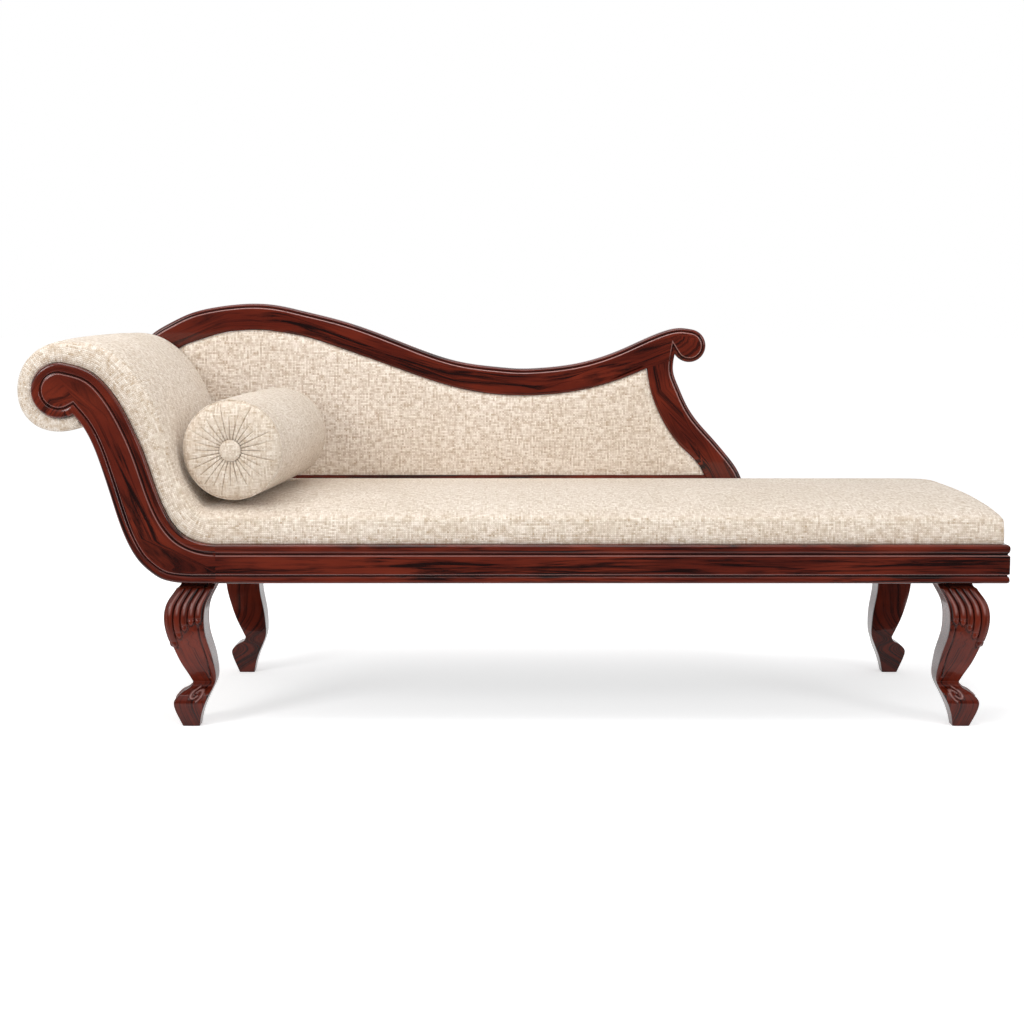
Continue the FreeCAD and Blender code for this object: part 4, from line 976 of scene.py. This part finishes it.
# The cloth under the scroll at the head end: the same linen, tacked along both scroll sides, from the notch below the
# roll to just short of the legs. It is stretched, so it hangs only a little away from the wood between its edges.
UNDER_START, UNDER_END = 0.03, 0.92
UNDER_OUT, UNDER_IN, UNDER_SAG, SAG_REACH = 2.3, 0.3, 1.2, 30.0
UNDER_ROWS, UNDER_COLUMNS = 48, 40
under_line = scroll_lower(8.0)
under_run = distance_along(under_line)
under_way = np.gradient(under_line, axis=0)
under_way /= np.linalg.norm(under_way, axis=1)[:, None]
under_share = np.linspace(UNDER_START, UNDER_END, UNDER_ROWS) * under_run[-1]
under_depths = np.linspace(FRONT + MOULD_T + 1, RAIL_BACK - 1, UNDER_COLUMNS)
points, uvs = [], []
for off, sag in ((UNDER_OUT, UNDER_SAG), (UNDER_IN, 0.0)):
    for s in under_share:
        x, z = (np.interp(s, under_run, under_line[:, axis]) for axis in (0, 1))
        way_x, way_z = (np.interp(s, under_run, under_way[:, axis]) for axis in (0, 1))
        for y in under_depths:
            inside = min(1.0, (y - under_depths[0]) / SAG_REACH, (under_depths[-1] - y) / SAG_REACH)
            out = off + sag * inside
            points.append((x + way_z * out, y, z - way_x * out))
            uvs.append((s, y))


def sheet_rim(rows, count):
    """Faces that join the rims of two grids, the first one's points followed by the second's."""
    rim = list(range(count)) + [i * count + count - 1 for i in range(1, rows)]
    rim += [(rows - 1) * count + k for k in reversed(range(count - 1))]
    rim += [i * count for i in reversed(range(1, rows - 1))]
    return [(b, a, a + rows * count, b + rows * count) for a, b in zip(rim, rim[1:] + rim[:1])]


faces = grid_faces(UNDER_ROWS, UNDER_COLUMNS)
faces += [tuple(reversed(face)) for face in grid_faces(UNDER_ROWS, UNDER_COLUMNS, len(points) // 2)]
faces += sheet_rim(UNDER_ROWS, UNDER_COLUMNS)
under_cloth = mesh_piece("head_under_cloth", points, faces, uvs, linen)
declare(under_cloth, "couch", "linen", "head_outer_cover")

# The back frame, planted on the rear of the rail and scroll: a crest in two lengths that dips and ends in a round
# scroll, a stile at each end, and a plain rail at the foot. It has a dark stepped edge outside a flat polished face.
BACK_LEFT, BACK_LENGTH = VOLUTE_X + 23.5, LENGTH - 632.0
BACK_BASE, BACK_RISE = RAIL_TOP, 457.0
CREST_OUTER = [
    (0.002, 0.748), (0.030, 0.846), (0.066, 0.909), (0.100, 0.953), (0.136, 0.979), (0.170, 0.993),
    (0.213, 1.000), (0.256, 0.989), (0.291, 0.967), (0.360, 0.919), (0.429, 0.854), (0.499, 0.778),
    (0.568, 0.718), (0.637, 0.692), (0.672, 0.685), (0.706, 0.688), (0.776, 0.713), (0.845, 0.774),
    (0.914, 0.858), (0.933, 0.875), (0.950, 0.882),
]
CREST_INNER = [
    (0.043, 0.683), (0.082, 0.788), (0.117, 0.826), (0.152, 0.856), (0.187, 0.870), (0.221, 0.873),
    (0.256, 0.863), (0.291, 0.846), (0.360, 0.786), (0.429, 0.718), (0.498, 0.648), (0.568, 0.589),
    (0.637, 0.559), (0.672, 0.555), (0.706, 0.557), (0.776, 0.580), (0.845, 0.633), (0.893, 0.687),
]
STILE_OUTER = [
    (0.940, 0.728), (0.939, 0.679), (0.948, 0.602), (0.964, 0.504), (0.983, 0.426), (1.008, 0.348),
    (1.032, 0.270), (1.053, 0.191), (1.065, 0.100), (1.068, 0.0),
]
STILE_INNER = [
    (0.893, 0.687), (0.899, 0.591), (0.919, 0.446), (0.941, 0.348), (0.958, 0.294), (0.985, 0.216),
    (1.000, 0.130), (1.006, 0.060), (1.008, 0.0),
]
HEAD_STILE_OUTER = [(0.002, 0.748), (0.018, 0.613), (0.035, 0.438), (0.055, 0.252), (0.082, 0.022), (0.104, -0.055)]
HEAD_STILE_INNER = [(0.043, 0.683), (0.063, 0.600), (0.088, 0.479), (0.110, 0.300), (0.135, 0.149), (0.160, 0.033)]
SCROLL_AT, SCROLL_R, SCROLL_FROM, SCROLL_TO = (0.9665, 0.7965), 36.6, 80.0, -150.0
CREST_SEAM = 0.268
# Across the crest from its back to its flat face: the outer edge is stepped and rounded, the inner one only eased
CREST_EDGE = [
    (3.0, -38.0), (0.8, -37.2), (0.0, -35.0), (0.0, -9.5), (0.5, -6.6), (2.0, -4.3), (4.4, -3.1), (6.6, -2.9),
    (8.0, -3.1), (8.9, -2.8), (9.5, -1.5), (10.3, -0.5), (11.6, -0.1), (14.0, 0.0),
]
INNER_EDGE = [
    (3.0, -38.0), (0.8, -37.2), (0.0, -35.0), (0.0, -8.0), (0.0, -5.0), (0.2, -3.4), (0.7, -2.2), (1.3, -1.4),
    (2.0, -0.8), (2.9, -0.4), (4.0, -0.15), (5.2, -0.05), (6.6, 0.0), (9.0, 0.0),
]


def back_point(share):
    """A place on the back in x and z, from shares of its length and of its rise."""
    return np.array([BACK_LEFT + share[0] * BACK_LENGTH, BACK_BASE + share[1] * BACK_RISE])


def back_line(shares):
    """A smooth line on the back, through places given as shares."""
    return smooth_line([back_point(share) for share in shares], 6.0)


def cut_at(line, x, keep_left):
    """The part of a line to one side of an upright cut."""
    at = int(np.argmax(line[:, 0] > x))
    share = (x - line[at - 1, 0]) / (line[at, 0] - line[at - 1, 0])
    crossing = line[at - 1] + share * (line[at] - line[at - 1])
    return np.vstack([line[:at], crossing]) if keep_left else np.vstack([crossing, line[at:]])


scroll_start = round_point(back_point(SCROLL_AT), SCROLL_R, SCROLL_FROM)
crest_outer = smooth_line([back_point(share) for share in CREST_OUTER] + [scroll_start], 6.0)
crest_scroll = round_line(back_point(SCROLL_AT), SCROLL_R, SCROLL_FROM, SCROLL_TO, 2.5)
crest_inner = back_line(CREST_INNER)
stile_outer, stile_inner = back_line(STILE_OUTER), back_line(STILE_INNER)
head_outer, head_inner = back_line(HEAD_STILE_OUTER), back_line(HEAD_STILE_INNER)
seam_x = back_point((CREST_SEAM, 0))[0]
# the grain runs along the middle of the crest and on past its scroll, and along the middle of the stile
crest_grain = smooth_line([(back_point(a) + back_point(b)) / 2 for a, b in zip(CREST_OUTER[:-3], CREST_INNER)], 8.0)
crest_grain = np.vstack([crest_grain, crest_grain[-1] + (crest_grain[-1] - crest_grain[-2]) * 15])
stile_grain = (smooth_line(stile_outer[::8], 8.0)[:24] + smooth_line(stile_inner[::8], 8.0)[:24]) / 2

head_top, head_under = cut_at(crest_outer, seam_x, True), cut_at(crest_inner, seam_x, True)
crest_head = moulded_board("crest_head", [
    (head_top, CREST_EDGE),
    ([head_top[-1], head_under[-1]], None),
    (head_under[::-1], INNER_EDGE),
    ([crest_inner[0], crest_outer[0]], None),
], RAIL_BACK, BACK_T, crest_grain, mahogany)
declare(crest_head, "couch", "show_wood", "crest_rail_head")

tail_top, tail_under = cut_at(crest_outer, seam_x, False), cut_at(crest_inner, seam_x, False)
crest_tail = moulded_board("crest_tail", [
    (tail_top, CREST_EDGE),
    (crest_scroll, CREST_EDGE),
    ([crest_scroll[-1], stile_outer[0]], CREST_EDGE),
    ([stile_outer[0], crest_inner[-1]], None),
    (tail_under[::-1], INNER_EDGE),
    ([tail_under[0], tail_top[0]], None),
], RAIL_BACK, BACK_T, crest_grain, mahogany)
declare(crest_tail, "couch", "show_wood", "crest_rail_scroll")

stile_low, head_low = LEG_HEIGHT + 6.0, LEG_HEIGHT + 16.0
HEEL_SHIFT = 28.0
stile_foot, stile_toe = (stile_outer[-1][0], stile_low), (stile_inner[-1][0], stile_low)
stile = moulded_board("foot_stile", [
    (stile_outer, CREST_EDGE),
    ([stile_outer[-1], stile_foot], CREST_EDGE),
    ([stile_foot, stile_toe], INNER_EDGE),
    ([stile_toe, stile_inner[-1]], INNER_EDGE),
    (stile_inner[::-1], INNER_EDGE),
    ([stile_inner[0], stile_outer[0]], None),
], RAIL_BACK, BACK_T, stile_grain, mahogany)
declare(stile, "couch", "show_wood", "back_stile_right")

head_heel, head_foot = (head_outer[-1][0] + HEEL_SHIFT, head_low), (head_inner[-1][0] + HEEL_SHIFT, head_low)
head_stile = moulded_board("head_stile", [
    ([crest_outer[0], crest_inner[0]], None),
    (head_inner, INNER_EDGE),
    ([head_inner[-1], head_foot], INNER_EDGE),
    ([head_foot, head_heel], INNER_EDGE),
    ([head_heel, head_outer[-1]], INNER_EDGE),
    (head_outer[::-1], INNER_EDGE),
], RAIL_BACK, BACK_T, head_inner, mahogany)
declare(head_stile, "couch", "show_wood", "back_stile_head")

# The back panel: linen over thin foam on a plywood board, crowned and tucked in behind the frame, with a plain linen
# sheet tacked over the board behind.
FLOOR_OF_PANEL = RAIL_TOP + 8.0 + 68.0
BELOW_PAD = 12.0
TUCK_Y, CROWN = RAIL_BACK + 6.0, 10.5
# The crown rolls in quickly at the rim, and the rest of it comes up slowly: a share and a reach for each
RIM_SHARE, RIM_REACH, SLOW_REACH = 0.72, 9.0, 120.0
BOARD_FRONT, BOARD_T, COVER_T, PANEL_GAP = BACK - 14.0, 4.0, 2.0, 0.4
BACK_LINEN, BACK_LINEN_DARK = (0.96, 0.88, 0.79, 1.0), (0.56, 0.43, 0.32, 1.0)
panel_top = np.vstack([crest_inner, stile_inner[1:]])
panel_rim = np.vstack([crest_inner, stile_inner[1:], head_inner[::-1]])


def rim_distance(spots):
    """How far each place in x and z is from the rim of the panel's opening."""
    start, step = panel_rim[:-1], np.diff(panel_rim, axis=0)
    reach = spots[:, None, :] - start[None, :, :]
    share = np.clip((reach * step).sum(2) / (step ** 2).sum(1), 0, 1)
    near = np.linalg.norm(reach - share[..., None] * step, axis=2).min(1)
    return np.minimum(near, spots[:, 1] - FLOOR_OF_PANEL + BELOW_PAD)


def panel_grid(column_step, rows):
    """Columns of places in x and z that fill the opening in the back, closer together at their ends."""
    margin = PANEL_GAP
    first = panel_top[0][0] + margin
    last = float(np.interp(-FLOOR_OF_PANEL - 2, -stile_inner[:, 1], stile_inner[:, 0])) - margin
    last = min(last, panel_top[-1][0] - margin)
    xs = np.linspace(first, last, int((last - first) / column_step))
    high = np.interp(xs, panel_top[:, 0], panel_top[:, 1]) - margin
    low = np.maximum(np.interp(xs, head_inner[:, 0], head_inner[:, 1], right=0.0), FLOOR_OF_PANEL) + margin
    high = np.maximum(high, low + 1.0)
    spread = (1 - np.cos(np.linspace(0, math.pi, rows))) / 2 * 0.5 + np.linspace(0, 1, rows) * 0.5
    heights = low[:, None] + (high - low)[:, None] * spread[None, :]
    return np.stack([np.repeat(xs[:, None], rows, 1), heights], axis=2)


def panel_piece(name, grid, front_y, rear_y, material):
    """A closed piece between two depths, each a number or an array over the grid."""
    columns, rows = grid.shape[:2]
    points, uvs = [], []
    for depth in (front_y, rear_y):
        depths = np.broadcast_to(depth, (columns, rows))
        points.extend(np.stack([grid[..., 0], depths, grid[..., 1]], axis=2).reshape(-1, 3))
        uvs.extend(grid.reshape(-1, 2))
    faces = grid_faces(columns, rows, flipped=True) + grid_faces(columns, rows, columns * rows)
    faces += [tuple(reversed(face)) for face in sheet_rim(columns, rows)]
    return mesh_piece(name, points, faces, uvs, material)


def panel_face(grid):
    """The depth of the crowned linen: flat over the middle and rolled in quickly along its rim."""
    near = rim_distance(grid.reshape(-1, 2)).reshape(grid.shape[:2])
    puff = RIM_SHARE * (1 - np.exp(-near / RIM_REACH)) + (1 - RIM_SHARE) * np.clip(near / SLOW_REACH, 0, 1)
    return TUCK_Y - CROWN * puff


back_linen = woven_material("back_linen", BACK_LINEN, BACK_LINEN_DARK, LINEN_PITCH, 0.6, 0.0014)
grid = panel_grid(5.0, 70)
panel = panel_piece("back_panel", grid, panel_face(grid), BOARD_FRONT - 0.3, back_linen)
declare(panel, "couch", "linen", "back_cover", "back_foam")
finish_nodes(wood_along_x, "back_board")
rear_grid, rear_y = panel_grid(20.0, 12), BOARD_FRONT + BOARD_T
rear_sheet = panel_piece("back_rear_sheet", rear_grid, rear_y, rear_y + COVER_T, linen)
declare(rear_sheet, "couch", "linen", "back_outer_cover")

# The bolster: a tube of the same linen over a firm round filling, closed at each end with a gathered disc that a
# covered button pulls in. It lies loose across the seat, against the slope, turned a few degrees from square.
BOLSTER_R, BOLSTER_LENGTH, BOLSTER_TURN = 100.0, DEPTH - 146.0, 5.0
BOLSTER_AT = (JOINT_X + 47.5, -34.0)
bolster_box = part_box("bolster_cover")
BOLSTER_AXIS_Z = (bolster_box[0][2] + bolster_box[1][2]) / 2 / MM
BOLSTER_DOME, BOLSTER_TAPER, DIMPLE_DEEP, DIMPLE_WIDE = 26.0, 2.5, 12.0, 13.0
BUTTON_R, BUTTON_T = 21.0, 9.0
BOLSTER_PITCH = 0.003
GATHERS = 28
# The tube draws in at its seams, its cloth is uneven in slow waves, and it is puckered near the seams
SEAM_IN, SEAM_WIDE = 1.6, 5.0
WAVE_RISE, WAVE_FADE = 0.7, 40
PUCKER_RISE, PUCKER_REACH = 0.45, 22.0


def on_seat(spots):
    """From the bolster's own axis, along its second direction, to where it lies on the seat."""
    spots = np.asarray(spots, float)
    turn = math.radians(-BOLSTER_TURN)
    x = spots[:, 0] * math.cos(turn) - spots[:, 1] * math.sin(turn) + BOLSTER_AT[0]
    y = spots[:, 0] * math.sin(turn) + spots[:, 1] * math.cos(turn) + BOLSTER_AT[1]
    return np.column_stack([x, y, spots[:, 2] + BOLSTER_AXIS_Z])


cloth_chance = np.random.default_rng(7)
# each wave's count round the tube, its lean along it and where it starts
CLOTH_WAVES = [
    (wave, cloth_chance.uniform(-0.012, 0.012), cloth_chance.uniform(0, 2 * math.pi)) for wave in (2, 3, 5, 7)
]


def ripple(turn, along):
    """A slow unevenness of cloth round a tube: whole waves round it, drifting along it."""
    return sum(math.sin(wave * turn + lean * along + start) / wave for wave, lean, start in CLOTH_WAVES)


AROUND, TUBE_ROWS = 168, 60
seam_at = BOLSTER_LENGTH / 2 - BOLSTER_DOME
points, uvs = [], []
for i in range(TUBE_ROWS + 1):
    along = seam_at * (2 * i / TUBE_ROWS - 1)
    near_seam = seam_at - abs(along)
    for turn in np.linspace(0, 2 * math.pi, AROUND + 1):
        # the underside lies flat and smooth on the seat
        loose = 1 - bump_of(turn - 1.5 * math.pi, 0.35)
        radius = BOLSTER_R - BOLSTER_TAPER * (along / seam_at) ** 2 - SEAM_IN * bump_of(near_seam, SEAM_WIDE)
        radius += WAVE_RISE * ripple(turn, along) * loose * min(1.0, near_seam / WAVE_FADE)
        radius += math.sin(turn * GATHERS * 1.5 + 1.0) * PUCKER_RISE * math.exp(-near_seam / PUCKER_REACH) * loose
        points.append((radius * math.cos(turn), along, radius * math.sin(turn)))
        uvs.append((turn * BOLSTER_R, along))
faces = grid_faces(TUBE_ROWS + 1, AROUND + 1)
bolster_linen = woven_material("bolster_linen", LINEN, LINEN_DARK, BOLSTER_PITCH, 0.45, 0.001)
tube = mesh_piece("bolster_tube", on_seat(points), faces, uvs, bolster_linen, crease=180.0)
declare(tube, "bolster", "linen", "bolster_cover", "bolster_fill")

DISC_RINGS, DISC_AROUND = 46, GATHERS * 16
SEAM_R = BOLSTER_R - BOLSTER_TAPER
NECK_R = BUTTON_R * 0.8
PLEAT_RISE, PLEAT_CUT, PLEAT_SETTLE = 2.6, 3.0, 1.9
disc_gathers = np.random.default_rng(11)
pleat_reach = disc_gathers.uniform(0.62, 1.15, GATHERS)
pleat_deep = disc_gathers.uniform(0.75, 1.25, GATHERS)
pleat_lean = disc_gathers.uniform(-0.05, 0.05, GATHERS)


def gathered_disc(name, sense, node):
    """A disc drawn into pleats under a button; its pleats are deep near the button and run out towards the seam."""
    rim = SEAM_R - 1.2
    points, uvs = [], []
    for i in range(DISC_RINGS + 1):
        radius = NECK_R + (rim - NECK_R) * (1 - (i / DISC_RINGS) ** 0.92)
        out_share = (radius - NECK_R) / (rim - NECK_R)
        dome = BOLSTER_DOME * (1 - out_share ** 3.2) ** 0.55
        dip = DIMPLE_DEEP * math.exp(-(radius - NECK_R) / DIMPLE_WIDE)
        for k in range(DISC_AROUND):
            turn = 2 * math.pi * k / DISC_AROUND
            pleat = turn / (2 * math.pi) * GATHERS
            own = int(pleat) % GATHERS
            within = abs(pleat - int(pleat) - 0.5 + pleat_lean[own] * (1 - out_share)) * 2
            fade = float(step_up(pleat_reach[own] - out_share, -0.02, 0.3))
            puff = (1 - within ** 3) * PLEAT_RISE * math.exp(-out_share * PLEAT_SETTLE)
            valley = float(bump_of(1 - within, 0.09 + 0.05 * (1 - out_share)))
            height = seam_at + dome - dip + puff - PLEAT_CUT * valley * fade * pleat_deep[own] - 1.0
            points.append((radius * math.cos(turn), height, radius * math.sin(turn)))
            uvs.append((radius * math.cos(turn), radius * math.sin(turn)))
    faces = grid_faces(DISC_RINGS + 1, DISC_AROUND, closed=True, flipped=True)
    centre, last = len(points), DISC_RINGS * DISC_AROUND
    points.append((0.0, points[-1][1] - 2.0, 0.0))
    uvs.append((0.0, 0.0))
    faces += [(last + k, centre, last + (k + 1) % DISC_AROUND) for k in range(DISC_AROUND)]
    if sense > 0:
        faces = [tuple(reversed(face)) for face in faces]
    disc = mesh_piece(name, on_seat(np.array(points) * (1.0, sense, 1.0)), faces, uvs, bolster_linen, crease=75.0)
    declare(disc, "bolster", "linen", node)


gathered_disc("bolster_end_near", -1.0, "bolster_end_front")
gathered_disc("bolster_end_far", 1.0, "bolster_end_rear")

# A thin welt covers each seam between the tube and a disc. It is a strip of the same linen, rolled over a cord and
# sewn in with the seam.
WELT_R, WELT_RING_R = 2.0, SEAM_R - 1.0
WELT_AROUND, WELT_SIDES = 144, 8
for name, sense in (("near", -1.0), ("far", 1.0)):
    points, uvs, faces = [], [], []
    for i in range(WELT_AROUND):
        turn = 2 * math.pi * i / WELT_AROUND
        for k in range(WELT_SIDES):
            roll = 2 * math.pi * k / WELT_SIDES
            radius, along = WELT_RING_R + WELT_R * math.cos(roll), sense * seam_at + WELT_R * math.sin(roll)
            points.append((radius * math.cos(turn), along, radius * math.sin(turn)))
            uvs.append((turn * WELT_RING_R, roll * WELT_R))
            near, far = i * WELT_SIDES, (i + 1) % WELT_AROUND * WELT_SIDES
            m = (k + 1) % WELT_SIDES
            faces.append((near + k, far + k, far + m, near + m))
    welt = mesh_piece("bolster_welt_" + name, on_seat(points), faces, uvs, bolster_linen, crease=180.0)
    declare(welt, "bolster", "linen")

# Two buttons, each a domed form covered in the linen, sit in the dimples of the bolster's ends. Twine through the
# filling ties them to each other.
BUTTON_AROUND, BUTTON_RINGS, BUTTON_WRAP = 56, 14, math.radians(118)
BUTTON_FULL, BUTTON_DEPTH, BUTTON_SUNK = 0.82, BUTTON_T * 0.62, 8.0
button_points, button_uvs, button_faces = [], [], []
for sense in (-1.0, 1.0):
    base = len(button_points)
    face_at = seam_at + BOLSTER_DOME - BUTTON_SUNK + BUTTON_T
    for ring in range(1, BUTTON_RINGS + 1):
        bend = BUTTON_WRAP * ring / BUTTON_RINGS
        radius = BUTTON_R * (math.sin(bend) ** BUTTON_FULL if bend < QUARTER else math.sin(bend))
        out = sense * (face_at + BUTTON_DEPTH * (math.cos(bend) - 1))
        for k in range(BUTTON_AROUND):
            turn = 2 * math.pi * k / BUTTON_AROUND
            button_points.append((radius * math.cos(turn), out, radius * math.sin(turn)))
            button_uvs.append((radius * math.cos(turn), radius * math.sin(turn)))
    centre = len(button_points)
    button_points.append((0.0, sense * face_at, 0.0))
    button_uvs.append((0.0, 0.0))
    faces = [(centre, base + (k + 1) % BUTTON_AROUND, base + k) for k in range(BUTTON_AROUND)]
    faces += grid_faces(BUTTON_RINGS, BUTTON_AROUND, base, closed=True)
    faces.append(list(range(centre - BUTTON_AROUND, centre)))
    button_faces += faces if sense < 0 else [tuple(reversed(face)) for face in faces]
buttons = mesh_piece(
    "bolster_button_pair", on_seat(button_points), button_faces, button_uvs, bolster_linen, crease=60.0)
declare(buttons, "bolster", "linen", "bolster_buttons")
finish_nodes(webbing, "bolster_twine")

# Zinc-plated bolts hold the frame together: hanger bolts that come up out of the legs, each with its nut, and the
# bolts that draw the back frame to the rear rail and scroll.
ZINC, ZINC_DARK = (0.55, 0.56, 0.58, 1.0), (0.42, 0.43, 0.46, 1.0)
SPANGLES_PER_METRE = 450.0


def zinc_material():
    """Zinc plate: bright metal with small spangles of slightly different tone."""
    material, tree, output = new_material("zinc_plate")
    where = add_node(tree, "TexCoord").outputs["Object"]
    spangle = add_node(tree, "TexVoronoi", {"Vector": where, "Scale": SPANGLES_PER_METRE}).outputs["Distance"]
    shader = add_node(tree, "BsdfPrincipled", {
        "Base Color": mixed(tree, ramp(tree, spangle, 0.1, 0.7), ZINC_DARK, ZINC),
        "Metallic": 1.0, "Roughness": maths(tree, "MULTIPLY_ADD", spangle, 0.2, 0.28),
    })
    tree.links.new(shader.outputs[0], output.inputs["Surface"])
    return material


finish_nodes(zinc_material(), "leg_bolts", "leg_nuts", "back_bolts")
